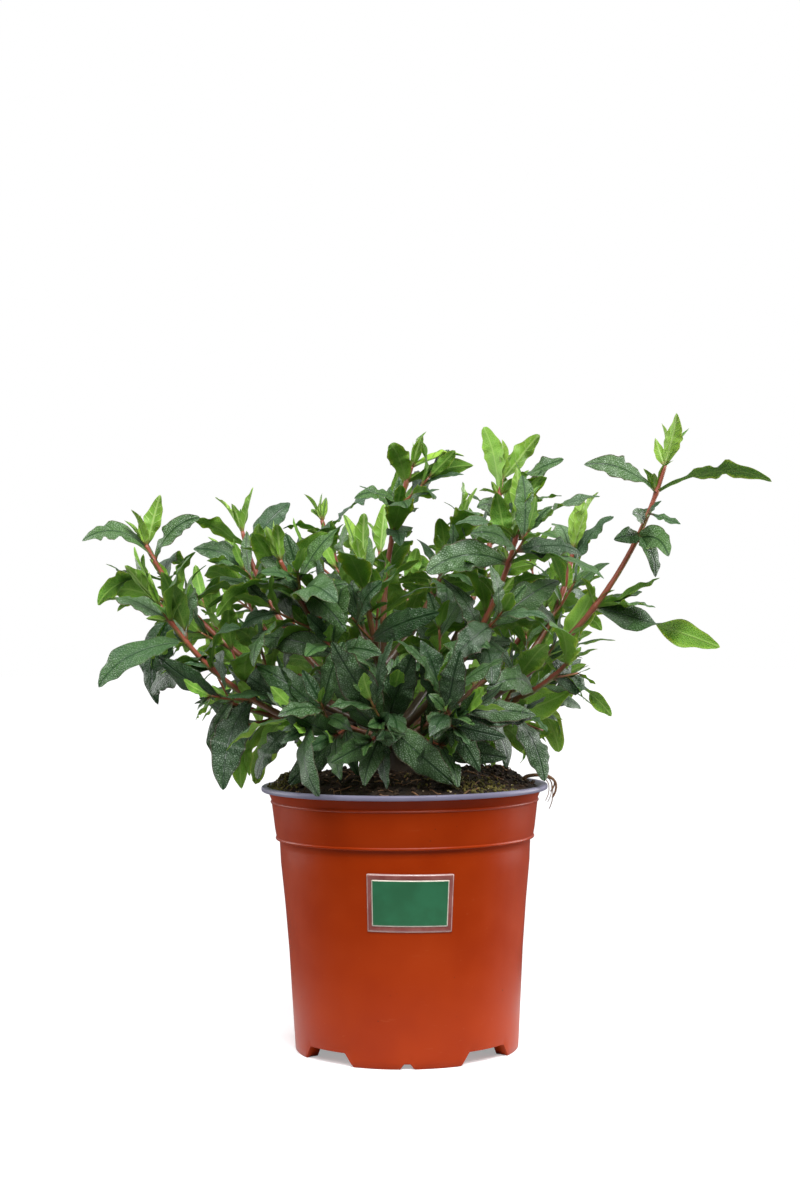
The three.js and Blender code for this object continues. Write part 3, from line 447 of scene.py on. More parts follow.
def add_twig(growth, fits, draw, shoot, root, tangent, radial, reach, turn):
    """A short side twig from a leaf's axil, with its own pairs of small leaves."""
    direction = unit(math.cos(TWIG_ANGLE) * tangent + math.sin(TWIG_ANGLE) * radial)
    path = Bend(root, root + direction * reach * 0.5, root + direction * reach + UP * reach * 0.15)
    if not fits(path.at(np.linspace(0, path.length, 5))[2:]):
        return
    growth["twigs"].append(path)
    gap, s, pair = TWIG_GAP, path.length - 0.5, 0
    while s > 4 and pair < len(TWIG_AGES):
        along = path.direction(s)
        u = unit(np.cross(along, radial))
        v = np.cross(along, u)
        age = TWIG_AGES[pair]
        for half in (0, 180):
            length_draw, width_draw, angle_draw, twist_draw = (draw() for _ in range(4))
            length = shoot.leaf * age.size * (0.85 + 0.3 * length_draw)
            add_leaf(growth["leaves"], fits, pair + 1, path.at(s), along,
                     radial_at(u, v, turn + 90 * pair + half), length, length * (0.3 + 0.07 * width_draw),
                     math.radians(age.angle + (angle_draw - 0.5) * 14), math.radians(age.bend) * shoot.droop,
                     age.sag * shoot.droop, math.radians((twist_draw - 0.5) * 50))
        pair, s, gap = pair + 1, s - gap, gap * TWIG_STRETCH


def grow(shoot, path, fits):
    """Pairs of leaves from the shoot's tip down to its bare limb, each pair turned a quarter from the last,
    with side twigs in the axils of the older ones."""
    growth = {"leaves": [], "twigs": [], "nodes": [], "tufts": [], "inner": []}
    draw = seeded(shoot.seed)
    gap, s, pair = shoot.gap, path.length - 1, 0
    while s > shoot.bare + 4:
        age = AGES[min(pair + shoot.old, len(AGES) - 1)]
        root, tangent = path.at(s), path.direction(s)
        u = unit(np.cross(tangent, DEPTH))
        v = np.cross(tangent, u)
        growth["nodes"].append((s, u, v, pair))
        for half in (0, 180):
            roll_draw, length_draw, width_draw, angle_draw, bend_draw, twist_draw = (draw() for _ in range(6))
            radial = radial_at(u, v, shoot.roll + 90 * pair + half + (roll_draw - 0.5) * 30)
            length = shoot.leaf * age.size * (0.86 + 0.28 * length_draw)
            add_leaf(growth["leaves"], fits, pair + shoot.old, root, tangent, radial, length,
                     length * (0.3 + 0.08 * width_draw), math.radians(age.angle + (angle_draw - 0.5) * 16),
                     math.radians(age.bend + (bend_draw - 0.5) * 24) * shoot.droop, age.sag * shoot.droop,
                     math.radians((twist_draw - 0.5) * 90))
            twig_draw, reach_draw, turn_draw = draw(), draw(), draw()
            if pair + shoot.old >= 2 and twig_draw < TWIG_CHANCE:
                reach = (14 + 26 * reach_draw) * min(1, 0.5 + 0.17 * pair)
                add_twig(growth, fits, draw, shoot, root, tangent, radial, reach, turn_draw * 180)
        pair, s = pair + 1, s - gap
        gap = min(gap * shoot.stretch, max(LONGEST_GAP, GAP_REACH * shoot.gap))
    return growth


def add_tufts(growth, path, shoot, fits):
    """Finer growth within the same space: young leaves still folded together at the tip, and a small tuft
    in the axils below, drawn apart so that the shoot's own leaves stay as they are."""
    draw = seeded(shoot.seed + 5000)
    tip = path.length - 0.5
    along = path.direction(tip)
    u = unit(np.cross(along, DEPTH))
    v = np.cross(along, u)
    for k, (size, angle) in enumerate(((0.36, 9), (0.26, 7), (0.17, 5))):
        for half in (0, 180):
            radial = radial_at(u, v, shoot.roll + 90 * (k + 1) + half + 20 * draw())
            length = shoot.leaf * size * (0.85 + 0.3 * draw())
            add_leaf(growth["tufts"], fits, 0, path.at(tip), along, radial, length, length * 0.3,
                     math.radians(angle + 5 * draw()), math.radians(8), 0, math.radians(30 * draw() - 15))
    for s, u, v, pair in growth["nodes"][1:]:
        for half in (0, 180):
            radial = radial_at(u, v, shoot.roll + 90 * pair + half)
            if draw() > 0.5:
                continue
            root, tangent = path.at(s), path.direction(s)
            lean = unit(tangent + 0.55 * radial)
            side = unit(np.cross(lean, radial))
            out = np.cross(side, lean)
            count = 2 + int(draw() * 3)
            for k in range(count):
                turn = radial_at(out, side, 180 * k + 90 * (k // 2) + 60 * draw())
                length = shoot.leaf * (0.2 + 0.16 * draw()) * (0.75 if k > 1 else 1)
                angle = math.radians(14 + 22 * draw())
                twist = math.radians(40 * draw() - 20)
                add_leaf(growth["tufts"], fits, 1, root + radial * 0.8, lean, turn, length, length * 0.32,
                         angle, math.radians(24), 0.05, twist)


def add_inner_sprays(growth, path, shoot, fits):
    """Finer growth on the bare part of a limb: pairs of smaller old leaves every 8 to 13 mm, each pair
    turned on from the last, where they fit between the neighbours."""
    draw = seeded(shoot.seed + 9000)
    s, turn = 9 + 5 * draw(), 360 * draw()
    while s < shoot.bare + 6:
        root, along = path.at(s), path.direction(s)
        u = unit(np.cross(along, DEPTH))
        v = np.cross(along, u)
        for half in (0, 180):
            radial = radial_at(u, v, turn + half + 24 * draw())
            length = shoot.leaf * (0.42 + 0.36 * draw())
            add_leaf(growth["inner"], fits, 3 + int(draw() * 3), root, along, radial, length,
                     length * (0.32 + 0.08 * draw()), math.radians(42 + 30 * draw()),
                     math.radians(30 + 30 * draw()) * shoot.droop, 0.25 * shoot.droop,
                     math.radians(60 * draw() - 30))
        s, turn = s + 8 + 5 * draw(), turn + 70 + 40 * draw()


def point_seen(column, row, depth):
    """The point that the photograph shows at a pixel and that lies at y = depth: there the pixel's line of
    sight from the camera meets that plane."""
    pixel = Vector((column - PHOTO_SIZE[0] / 2, PHOTO_SIZE[1] / 2 - row, -FOCAL_PIXELS))
    sight = np.array(CAMERA_TURN.to_3x3() @ pixel)
    return CAMERA_AT + sight * (depth - CAMERA_AT[1]) / sight[1]


def pose(leaf, column, row, depth, base_roll, tip_roll, arch=1.0):
    """Turns a leaf about its root by the shortest turn that points it at its tip's place, and scales it to
    end there, with its distance from the straight line between the two scaled by arch as well.
    Its upper side faces the front at a roll of 0 degrees, up at 90 and the back at 180, and the roll
    changes smoothly over the middle of the leaf."""
    root = leaf["rib"][0]
    old = leaf["rib"][-1] - root
    new = point_seen(column, row, depth) - root
    turn = np.array(Vector(old).rotation_difference(Vector(new)).to_matrix())
    scale = np.linalg.norm(new) / np.linalg.norm(old)
    rib = (leaf["rib"] - root) @ turn.T * scale
    straight = (rib @ unit(new))[:, None] * unit(new)
    rib = root + straight + (rib - straight) * arch
    along = unit(np.gradient(rib, axis=0))
    front = unit(FRONT - (along @ FRONT)[:, None] * along)
    above = np.cross(front, along)
    above = above if above[:, 2].sum() > 0 else -above
    eased = smoothstep(0.25, 0.75, np.linspace(0, 1, len(rib)))
    roll = np.radians(base_roll + (tip_roll - base_roll) * eased)[:, None]
    faces = np.cos(roll) * front + np.sin(roll) * above
    length = leaf["length"] * scale
    leaf.update(rib=rib, across=np.cross(along, faces), faces=faces, length=length,
                width=min(0.34 * length, BROADEST_LEAF), posed=True)


def let_grow(leaves):
    """Lengthens and widens each leaf from its root where its longer tip stays inside the crown: the third
    furthest of all leaf points in the tip's own direction from the crown's middle still lies further out."""
    cloud = np.concatenate([leaf["rib"][4::4] for leaf in leaves]) - CROWN_MIDDLE
    for leaf in leaves:
        if "posed" in leaf:
            continue
        upper = leaf["rib"][-1][2] > UPPER_CROWN
        for factor in FULLER_ABOVE if upper else FULLER[min(leaf["age"], len(FULLER) - 1)]:
            rib = leaf["rib"][0] + (leaf["rib"] - leaf["rib"][0]) * factor
            tip = rib[-1] - CROWN_MIDDLE
            out = np.sort(cloud @ unit(tip))[-3]
            if leaf["length"] * factor < LONGEST_LEAF and np.linalg.norm(tip) < out - 3 \
                    and np.all(rib[4:, 2] > np.maximum(lowest_leaf(rib[4:]), POT_HEIGHT + 1)):
                leaf.update(rib=rib, length=leaf["length"] * factor, width=leaf["width"] * factor)
                break


# Meshes

def new_piece(name, points, faces, materials=(), face_slots=None, smooth=True):
    """An object with its place in its mesh, from points in millimetres and lists of corners."""
    mesh = bpy.data.meshes.new(name)
    mesh.from_pydata((np.asarray(points) * MM).tolist(), [], faces)
    for each in materials:
        mesh.materials.append(each)
    if face_slots is not None:
        mesh.polygons.foreach_set("material_index", np.asarray(face_slots, dtype=np.int32))
    mesh.polygons.foreach_set("use_smooth", np.full(len(mesh.polygons), smooth))
    mesh.update()
    piece = bpy.data.objects.new(name, mesh)
    bpy.context.scene.collection.objects.link(piece)
    return piece


def point_vectors(piece, name, values):
    """Gives each point of a piece a vector, for its material to read."""
    attribute = piece.data.attributes.new(name, "FLOAT_VECTOR", "POINT")
    attribute.data.foreach_set("vector", np.ascontiguousarray(values, dtype=np.float32).ravel())


def grid_faces(rows, columns, start=0, closed=True):
    """Corners of the quads between the rows of a grid whose columns run round, or not, of one surface."""
    r, c = np.meshgrid(np.arange(rows - 1), np.arange(columns if closed else columns - 1), indexing="ij")
    n = (c + 1) % columns
    low, high = r * columns, (r + 1) * columns
    return np.stack([low + c, low + n, high + n, high + c], axis=-1).reshape(-1, 4) + start


class Bundle:
    """Gathers many small surfaces into one piece, with their faces and values for every point."""

    def __init__(self):
        self.points = []
        self.faces = []
        self.slots = []
        self.values = {}
        self.count = 0

    def add(self, points, faces, slot=0, **values):
        """Adds one surface: its points, its blocks of faces, its material's slot and its points' values."""
        self.points.append(points)
        self.faces += [f for block in faces for f in (block + self.count).tolist()]
        self.slots += [slot] * sum(len(block) for block in faces)
        for name, value in values.items():
            self.values.setdefault(name, []).append(np.broadcast_to(value, points.shape))
        self.count += len(points)

    def piece(self, name, materials):
        """The surfaces as one piece."""
        made = new_piece(name, np.concatenate(self.points), self.faces, materials, self.slots)
        for key, value in self.values.items():
            point_vectors(made, key, np.concatenate(value))
        return made


def tube(path_points, radii, sides, relief=None):
    """A closed tube: rings of sides points square to the path, their radius carried along it and changed
    by relief, with a point at each end. Returns points, blocks of faces and each point's place along."""
    count = len(path_points)
    along = unit(np.gradient(path_points, axis=0))
    u = np.cross(along, DEPTH)
    weak = np.linalg.norm(u, axis=1) < 0.2
    u[weak] = np.cross(along[weak], UP)
    u = unit(u)
    v = np.cross(along, u)
    angle = np.linspace(0, 2 * np.pi, sides, endpoint=False)
    spokes = np.cos(angle)[None, :, None] * u[:, None] + np.sin(angle)[None, :, None] * v[:, None]
    radius = np.broadcast_to(np.asarray(radii)[:, None], (count, sides)).copy()
    rings = path_points[:, None] + spokes * radius[..., None]
    if relief is not None:
        rings += spokes * relief(rings, spokes)[..., None]
    ends = path_points[[0, -1]]
    points = np.concatenate([rings.reshape(-1, 3), ends])
    around = np.arange(sides)
    nxt = (around + 1) % sides
    first, last = count * sides, count * sides + 1
    foot = np.stack([np.full(sides, first), nxt, around], axis=-1)
    head = np.stack([np.full(sides, last), around + last - 1 - sides, nxt + last - 1 - sides], axis=-1)
    travelled = np.concatenate([[0], np.cumsum(np.linalg.norm(np.diff(path_points, axis=0), axis=1))])
    place = np.concatenate([np.repeat(travelled, sides), travelled[[0, -1]]])
    return points, [grid_faces(count, sides), foot, head], place


def ageing_values(ripe, points, middles, sides, sunniest=1.0):
    """For each point of a tube how ripe the wood is and how far it faces up, from 0 to sunniest. The third
    value of the vector isn't used."""
    centres = np.concatenate([np.repeat(middles, sides, axis=0), middles[[0, -1]]])
    out = points - centres
    up = 0.5 + 0.5 * out[:, 2] / np.maximum(np.linalg.norm(out, axis=1), 0.01)
    return np.stack([ripe, np.minimum(up, sunniest), np.zeros_like(up)], 1)


def stem_piece(shoots, paths, growths, bark, green_wood):
    """Trunk and limbs. The trunk's radius flares at the soil; a limb's falls evenly to its tip and swells
    at each pair of leaves. The bark's relief is noise stretched along the limb, fading towards the tip."""
    stems = Bundle()
    heights = np.linspace(0, 1.12, 26)
    axis = TRUNK_FOOT + heights[:, None] * (TRUNK_TOP - TRUNK_FOOT)
    radii = 5.9 + 4.6 * np.exp(-heights * 7) - 2.4 * smoothstep(0.9, 1.12, heights)

    def trunk_relief(rings, spokes):
        """Five lobes that wind up the trunk and fade out, with rough bark in two sizes."""
        lobes = 0.5 * np.cos(5 * np.arctan2(spokes[..., 1], spokes[..., 0]) + rings[..., 2] / 9)
        rough = noise(rings * [1, 1, 0.35], 2.2, 3) * 0.45 + noise(rings * [1, 1, 0.4], 0.9, 4) * 0.2
        return lobes * np.exp(-heights * 2.2)[:, None] * 1.3 + rough

    points, faces, _ = tube(axis, radii, TRUNK_SIDES, trunk_relief)
    stems.add(points, faces, 0, ageing=(1.0, 1.0, 0.0))
    for shoot in shoots:
        path = paths[shoot.name]
        steps = int(path.length / 1.8)
        s = np.linspace(0, path.length, steps + 1)
        radii = LIMB_RADIUS + (TIP_RADIUS - LIMB_RADIUS) * s / path.length
        radii = radii + 1.1 * np.exp(-s / 9) - 0.5 * smoothstep(path.length - 5, path.length, s)
        for node_at, *_ in growths[shoot.name]["nodes"]:
            radii = radii + 0.42 * np.exp(-((s - node_at) / 2.4) ** 2)
        age = smoothstep(0.95, 0.1, s / path.length)

        def limb_relief(rings, spokes):
            """Noise in two sizes, drawn out along the limb, stronger on older wood."""
            way = path.direction(s)[:, None]
            stretched = rings - 0.72 * (rings * way).sum(-1, keepdims=True) * way
            return (noise(stretched, 1.1, 7) * 0.16 + noise(stretched, 3.0, 8) * 0.2) * (0.25 + age[:, None])

        points, faces, place = tube(path.at(s), radii, LIMB_SIDES, limb_relief)
        ripe = np.interp(place, s, age)
        stems.add(points, faces, 1, ageing=ageing_values(ripe, points, path.at(s), LIMB_SIDES))
    return stems.piece("trunk_and_limbs", [bark, green_wood])


def twig_piece(growths, skin):
    """Side twigs: thin tubes that taper to two thirds at the tip."""
    twigs = Bundle()
    for growth in growths.values():
        for path in growth["twigs"]:
            s = np.linspace(0, path.length, max(5, int(path.length / 3)))
            radii = TWIG_RADIUS * (1.15 - 0.4 * s / path.length)
            points, faces, place = tube(path.at(s), radii, TWIG_SIDES)
            ripe = 0.35 - 0.3 * place / path.length
            twigs.add(points, faces, 0, ageing=ageing_values(ripe, points, path.at(s), TWIG_SIDES, 0.45))
    return twigs.piece("side_twigs", [skin])


def leaf_template(stations):
    """Corners of one leaf's faces. Points: five across at each station, the tip, then the underside's three
    inner points at each station. Returns blocks of corners: upper, upper tip, lower, lower tip, base."""
    top = np.arange(stations * 5).reshape(stations, 5)
    tip = stations * 5
    inner = tip + 1 + np.arange(stations * 3).reshape(stations, 3)
    under = np.concatenate([top[:, :1], inner, top[:, 4:]], axis=1)
    upper = np.stack([top[:-1, :-1], top[:-1, 1:], top[1:, 1:], top[1:, :-1]], -1).reshape(-1, 4)
    upper_tip = np.stack([top[-1, :-1], top[-1, 1:], np.full(4, tip)], -1)
    lower = np.stack([under[:-1, :-1], under[1:, :-1], under[1:, 1:], under[:-1, 1:]], -1).reshape(-1, 4)
    lower_tip = np.stack([under[-1, :-1], np.full(4, tip), under[-1, 1:]], -1)
    base = np.array([[*under[0], *top[0, 3:0:-1]]])
    return upper, upper_tip, lower, lower_tip, base


def smooth_carried(values, place):
    """Values at places between the steps of each leaf, by a cubic through the four nearest."""
    low = np.floor(place).astype(int)
    t = (place - low)[None, :, None]
    last = values.shape[1] - 1
    p0, p1, p2, p3 = (values[:, np.clip(low + k, 0, last)] for k in (-1, 0, 1, 2))
    return p1 + 0.5 * t * (p2 - p0 + t * (2 * p0 - 5 * p1 + 4 * p2 - p3 + t * (3 * (p1 - p2) + p3 - p0)))


def half_widths(u, width, rng):
    """A narrow base that fades out plus a sine hump whose power falls towards a blunt tip."""
    fullest = rng.uniform(0.92, 1.12, width.shape)
    blunt = rng.uniform(0.52, 0.9, width.shape)
    hump = np.maximum(np.sin(np.pi * u[None] ** fullest), 0) ** (1.35 + (blunt - 1.35) * u[None] ** 0.7)
    return (0.17 * (1 - u[None]) ** 2 + hump) * width / 2


def leaf_points(leaves, stations, shape, rng):
    """The points of leaves of one kind, and their plan: the way along, the way aside, and the share of the
    way out to the margin. The halves rise from a sunken midrib as a shallow V that is deepest at the base,
    the margins curl down by the square of the way out and ripple as two sines along the leaf, the tip hooks
    down by the square of the way past the middle, and the underside lies a leaf's thickness below."""
    n = len(leaves)
    u = np.linspace(0, 1, stations + 1)[:-1]
    place = np.clip(u * LEAF_STEPS, 0, LEAF_STEPS - 1e-6)
    rib, across, faces = (smooth_carried(np.stack([leaf[key] for leaf in leaves]), place)
                          for key in ("rib", "across", "faces"))
    across = unit(across)
    faces = unit(faces)
    length = np.array([leaf["length"] for leaf in leaves])[:, None]
    width = np.array([leaf["width"] for leaf in leaves])[:, None] * shape["width"]
    hook = rng.uniform(0.0, 0.13, (n, 1)) * length
    rib = rib - faces * (hook * np.clip((u - 0.55) / 0.45, 0, 1) ** 2)[..., None]
    half = half_widths(u, width, rng)
    waves = rng.uniform(2.0, 3.6, (n, 1)) * np.sqrt(length / 50)
    shift = rng.uniform(0, 2 * np.pi, (n, 2, 1))
    strength = shape["wave"] * rng.uniform(0.5, 1.3, (n, 1))
    envelope = smoothstep(0.05, 0.35, u)[None] * (1 - 0.5 * smoothstep(0.85, 1, u))[None]
    points, plan = [], []
    for share in (-1, -0.55, 0, 0.55, 1):
        side = 0 if share < 0 else 1
        wobble = 0.05 * np.sin(9 * u[None] + shift[:, 1 - side])
        phase = 2 * np.pi * waves * (u[None] + wobble) + shift[:, side]
        ripple = 0.7 * np.sin(phase) + 0.45 * np.sin(1.83 * phase + shift[:, 1 - side])
        edge = share * share
        reach = half * (1 + 0.07 * np.sin(1.4 * phase + 1.2) * edge * envelope)
        fold = (shape["fold"] + 0.5 * np.exp(-u * 9))[None] * abs(share) - shape["curl"] * edge
        height = half * (fold + strength * ripple * envelope * edge)
        points.append(rib + across * (share * reach)[..., None] + faces * height[..., None])
        plan.append(np.stack([np.broadcast_to(u * length, half.shape), share * reach,
                              np.full_like(reach, share)], -1))
    top = np.stack(points, axis=2)
    plan = np.stack(plan, axis=2)
    thick = (0.3 + 0.5 * np.exp(-u * 7))[None, :, None, None] * np.array([0.8, 1.25, 0.8])[:, None]
    inner = top[:, :, 1:4] - faces[:, :, None] * thick * np.minimum(length / 30, 1)[..., None, None]
    tips = np.stack([leaf["rib"][-1] - leaf["faces"][-1] * by for leaf, by in zip(leaves, hook)])[:, None]
    plan_tips = np.concatenate([length, np.zeros_like(length), np.ones_like(length)], 1)[:, None]
    every = [top.reshape(n, -1, 3), tips, inner.reshape(n, -1, 3)]
    plan_every = [plan.reshape(n, -1, 3), plan_tips, plan[:, :, 1:4].reshape(n, -1, 3)]
    return np.concatenate(every, axis=1), np.concatenate(plan_every, axis=1)


def leaf_piece(name, leaves, stations, shape, materials, seed):
    """Leaves of one kind in one mesh, with the upper side in the first material and the underside in the
    second. Each leaf has two draws and its age as its tint, and the crease along its margin stays sharp."""
    rng = np.random.default_rng(seed)
    points, plan = leaf_points(leaves, stations, shape, rng)
    n, count = points.shape[:2]
    age = np.array([leaf["age"] for leaf in leaves])[:, None]
    tint = np.concatenate([rng.uniform(0, 1, (n, 2)), age / 6], axis=1)[:, None]
    offsets = (np.arange(n) * count)[:, None, None]
    corner_lists, slots = [], []
    for block, slot in zip(leaf_template(stations), (0, 0, 1, 1, 1)):
        corner_lists += (block[None] + offsets).reshape(-1, block.shape[1]).tolist()
        slots += [slot] * (n * len(block))
    made = new_piece(name, points.reshape(-1, 3), corner_lists, materials, slots)
    point_vectors(made, "plan", plan.reshape(-1, 3))
    point_vectors(made, "tint", np.broadcast_to(tint, points.shape).reshape(-1, 3))
    margin = np.zeros(count, dtype=bool)
    margin[0:stations * 5:5] = True
    margin[4:stations * 5:5] = True
    margin[stations * 5] = True
    on_margin = np.tile(margin, n)
    ends = np.empty(len(made.data.edges) * 2, dtype=np.int32)
    made.data.edges.foreach_get("vertices", ends)
    sharp = made.data.attributes.new("sharp_edge", "BOOLEAN", "EDGE")
    sharp.data.foreach_set("value", on_margin[ends.reshape(-1, 2)].all(axis=1))
    return made


# Pot, soil and label

def foot_ring_height(x, y):
    """How far the foot ring stops above the floor: a gap with sloped ends between each two feet, and a small
    notch in the middle of each foot. x and y turn with each cut so that across is the way along the rim."""
    height = np.zeros_like(x)
    for k in range(8):
        cut = FOOT_DRAIN if k % 2 == 0 else FOOT_GAP
        turn = math.radians(45 * k - 90)
        out = x * math.cos(turn) + y * math.sin(turn)
        across = np.abs(-x * math.sin(turn) + y * math.cos(turn))
        slope = np.clip((cut["bottom"] / 2 - across) / (cut["bottom"] - cut["top"]) * 2, 0, 1)
        height = np.maximum(height, np.where(out > 0, slope * cut["height"], 0))
    return height


def densified(profile, step):
    """The profile's points with others put evenly between them, no further apart than step."""
    dense, owner = [], []
    for i, (a, b) in enumerate(zip(profile[:-1], profile[1:])):
        count = max(1, math.ceil(math.dist(a, b) / step))
        for k in range(count):
            dense.append((a[0] + (b[0] - a[0]) * k / count, a[1] + (b[1] - a[1]) * k / count))
            owner.append(i)
    dense.append(profile[-1])
    return np.array(dense), np.array(owner)


def revolved(profile, columns):
    """Rings of points at a profile's radii and heights, with the profile's ends on the axis as single
    points. Returns the points and blocks of faces, row by row."""
    angle = np.linspace(0, 2 * np.pi, columns, endpoint=False)
    r, z = profile[1:-1, 0][:, None], profile[1:-1, 1][:, None]
    rings = np.stack([r * np.cos(angle), r * np.sin(angle), np.broadcast_to(z, (len(r), columns))], -1)
    rows = len(r)
    points = np.concatenate([rings.reshape(-1, 3), [[0, 0, profile[0, 1]], [0, 0, profile[-1, 1]]]])
    first, last = rows * columns, rows * columns + 1
    around = np.arange(columns)
    nxt = (around + 1) % columns
    foot = np.stack([np.full(columns, first), nxt, around], -1)
    head = np.stack([np.full(columns, last), around + last - 1 - columns, nxt + last - 1 - columns], -1)
    return points, [grid_faces(rows, columns), foot, head]


def pot_piece(shell, inner_skin):
    """The pot's whole section turned about its axis, with the foot ring cut by its gaps and notches, and
    four drain holes through the floor."""
    floor_top = FLOOR_UNDERSIDE + FLOOR_THICKNESS
    hub = [(0, 0), (HUB_RADIUS - 0.5, 0), (HUB_RADIUS, 0.5), (HUB_RADIUS, FLOOR_UNDERSIDE)]
    foot = [(FOOT_INSIDE, FLOOR_UNDERSIDE), (FOOT_INSIDE, 0.4), (FOOT_INSIDE + 0.4, 0),
            (FOOT_RADIUS - 0.7, 0), (FOOT_RADIUS, 0.8)]
    outside = hub + foot + WALL_OUTSIDE
    dense, owner = densified(outside + COLLAR + LIP + LINING + [(0, floor_top)], 5.0)
    columns = 480
    points, faces = revolved(dense, columns)
    rise = foot_ring_height(points[:, 0], points[:, 1])
    radius = np.hypot(points[:, 0], points[:, 1])
    row_owner = np.concatenate([np.repeat(owner[1:], columns), [0, 0]])[:len(points)]
    z = points[:, 2]
    # The foot ring's outside, inside and underside rise where it is cut, the first two less the higher up.
    ring_top = WALL_OUTSIDE[0][1]
    outer = (radius > FOOT_RADIUS - 1.2) & (z < ring_top) & (row_owner < len(outside))
    inner = (np.abs(radius - FOOT_INSIDE) < 0.5) & (z < FLOOR_UNDERSIDE)
    under = (radius > FOOT_INSIDE - 0.1) & (radius < FOOT_RADIUS) & (z < 0.9)
    z = np.where(outer, rise + z * (ring_top - rise) / ring_top, z)
    z = np.where(inner & ~outer, rise + z * (FLOOR_UNDERSIDE - rise) / FLOOR_UNDERSIDE, z)
    z = np.where(under & ~outer & ~inner, rise + points[:, 2], z)
    points[:, 2] = z
    lip_row = int(np.argmax(owner == len(outside + COLLAR) - 1)) - 1
    slots = np.zeros((len(dense) - 3, columns), dtype=int)
    slots[lip_row:] = 1
    slots = slots.ravel().tolist() + [0] * columns + [1] * columns
    corners = [f for block in faces for f in block.tolist()]
    piece = new_piece("pot_shell", points, corners, [shell, inner_skin], slots)
    cutters = Bundle()
    for k in range(DRAIN_HOLES["count"]):
        turn = math.radians(45 + 360 * k / DRAIN_HOLES["count"])
        at = DRAIN_HOLES["ring"] * np.array([math.cos(turn), math.sin(turn), 0])
        line = at + np.linspace(5, 15, 3)[:, None] * UP
        points, faces, _ = tube(line, np.full(3, DRAIN_HOLES["radius"]), 32)
        cutters.add(points, faces)
    cutter = cutters.piece("drain_cutter", [shell])
    holes = piece.modifiers.new("drain_holes", "BOOLEAN")
    holes.operation, holes.object, holes.solver = "DIFFERENCE", cutter, "EXACT"
    cut = bpy.data.meshes.new_from_object(piece.evaluated_get(bpy.context.evaluated_depsgraph_get()))
    piece.modifiers.clear()
    piece.data = cut
    bpy.data.objects.remove(cutter)
    cut.name = "pot_shell"
    cut.set_sharp_from_angle(angle=math.radians(38))
    return piece


def soil_lumps(points):
    """Crumbly ground: lumps of four sizes added to the soil's height, with heaps that fall off as a bell
    does. The lumps are lower round the trunk, and all of it is lower towards the wall."""
    x, y = points[:, 0], points[:, 1]
    out = np.hypot(x, y)
    flat = np.stack([x, y, np.zeros_like(x)], -1)
    lumps = 1.5 * noise(flat, 15, 11) + 1.1 * noise(flat, 6, 12) + 0.6 * noise(flat, 2.6, 13)
    lumps += 0.35 * noise(flat, 1.3, 14)
    heap = sum(height * np.exp(-((x - at_x) ** 2 + (y - at_y) ** 2) / spread ** 2)
               for at_x, at_y, spread, height in HEAPS)
    near_trunk = 1 - 0.7 * smoothstep(16, 9, np.hypot(x - TRUNK_FOOT[0], y - TRUNK_FOOT[1]))
    return (lumps * near_trunk + heap) * (1 - 0.75 * smoothstep(82, 88, out))


def soil_piece(earth):
    """The pot's filling: its top is the soil's height with lumps, its side follows the pot's wall."""
    side = [(0, SOIL_BOTTOM), (72.2, SOIL_BOTTOM), (78.0, 96.7), (81.3, 138.8), (83.4, 141.2), (86.5, 164),
            (87.6, 170.4)]
    shares = np.linspace(1, 0, 76)
    dense, _ = densified(side, 8.0)
    top = np.stack([87.9 * shares[:-1], np.full(75, POT_HEIGHT)], -1)
    profile = np.concatenate([dense, top, [[0, POT_HEIGHT]]])
    points, faces = revolved(profile, 240)
    upper = points[:, 2] >= POT_HEIGHT - 0.01
    lifted = soil_height(points[:, 0], points[:, 1]) + soil_lumps(points)
    points[:, 2] = np.where(upper, lifted, points[:, 2])
    return new_piece("potting_soil", points, [f for block in faces for f in block.tolist()], [earth])


def crumb_points():
    """The twelve corners and twenty faces of an icosahedron of radius one."""
    g = (1 + math.sqrt(5)) / 2
    corners = unit(np.array([(a, b * g, 0) for a in (-1, 1) for b in (-1, 1)]
                            + [(0, a, b * g) for a in (-1, 1) for b in (-1, 1)]
                            + [(b * g, 0, a) for a in (-1, 1) for b in (-1, 1)], float))
    longest_side = 1.1
    faces = []
    for i in range(12):
        for j in range(i + 1, 12):
            for k in range(j + 1, 12):
                trio = corners[[i, j, k]]
                sides = np.linalg.norm(trio - np.roll(trio, 1, axis=0), axis=1)
                if sides.max() < longest_side:
                    outward = np.dot(np.cross(trio[1] - trio[0], trio[2] - trio[0]), trio.mean(0)) > 0
                    faces.append((i, j, k) if outward else (i, k, j))
    return corners, np.array(faces)


def crumbs_piece(name, centres, sizes, seed, materials, slots, flat=0.7):
    """Small lumps about their centres: icosahedra with each corner moved in or out, turned at random and
    then flattened."""
    rng = np.random.default_rng(seed)
    corners, faces = crumb_points()
    n = len(centres)
    axes = unit(rng.normal(size=(n, 3)))
    other = unit(np.cross(axes, rng.normal(size=(n, 3))))
    turned = np.stack([axes, other, np.cross(axes, other)], axis=1)
    shape = corners[None] * rng.uniform(0.65, 1.2, (n, 12, 1)) * [1.0, 0.8, 0.62]
    points = np.einsum("nij,njk->nik", shape, turned) * sizes[:, None, None]
    points[..., 2] *= flat
    points += centres[:, None]
    offsets = (np.arange(n) * 12)[:, None, None]
    return new_piece(name, points.reshape(-1, 3), (faces[None] + offsets).reshape(-1, 3).tolist(), materials,
                     np.repeat(slots, 20), smooth=False)


def on_soil(x, y, lift=0.0):
    """Points at x and y that lie lift above the lumpy soil."""
    flat = np.stack([x, y, np.zeros_like(x)], -1)
    return np.stack([x, y, soil_height(x, y) + soil_lumps(flat) + lift], -1)


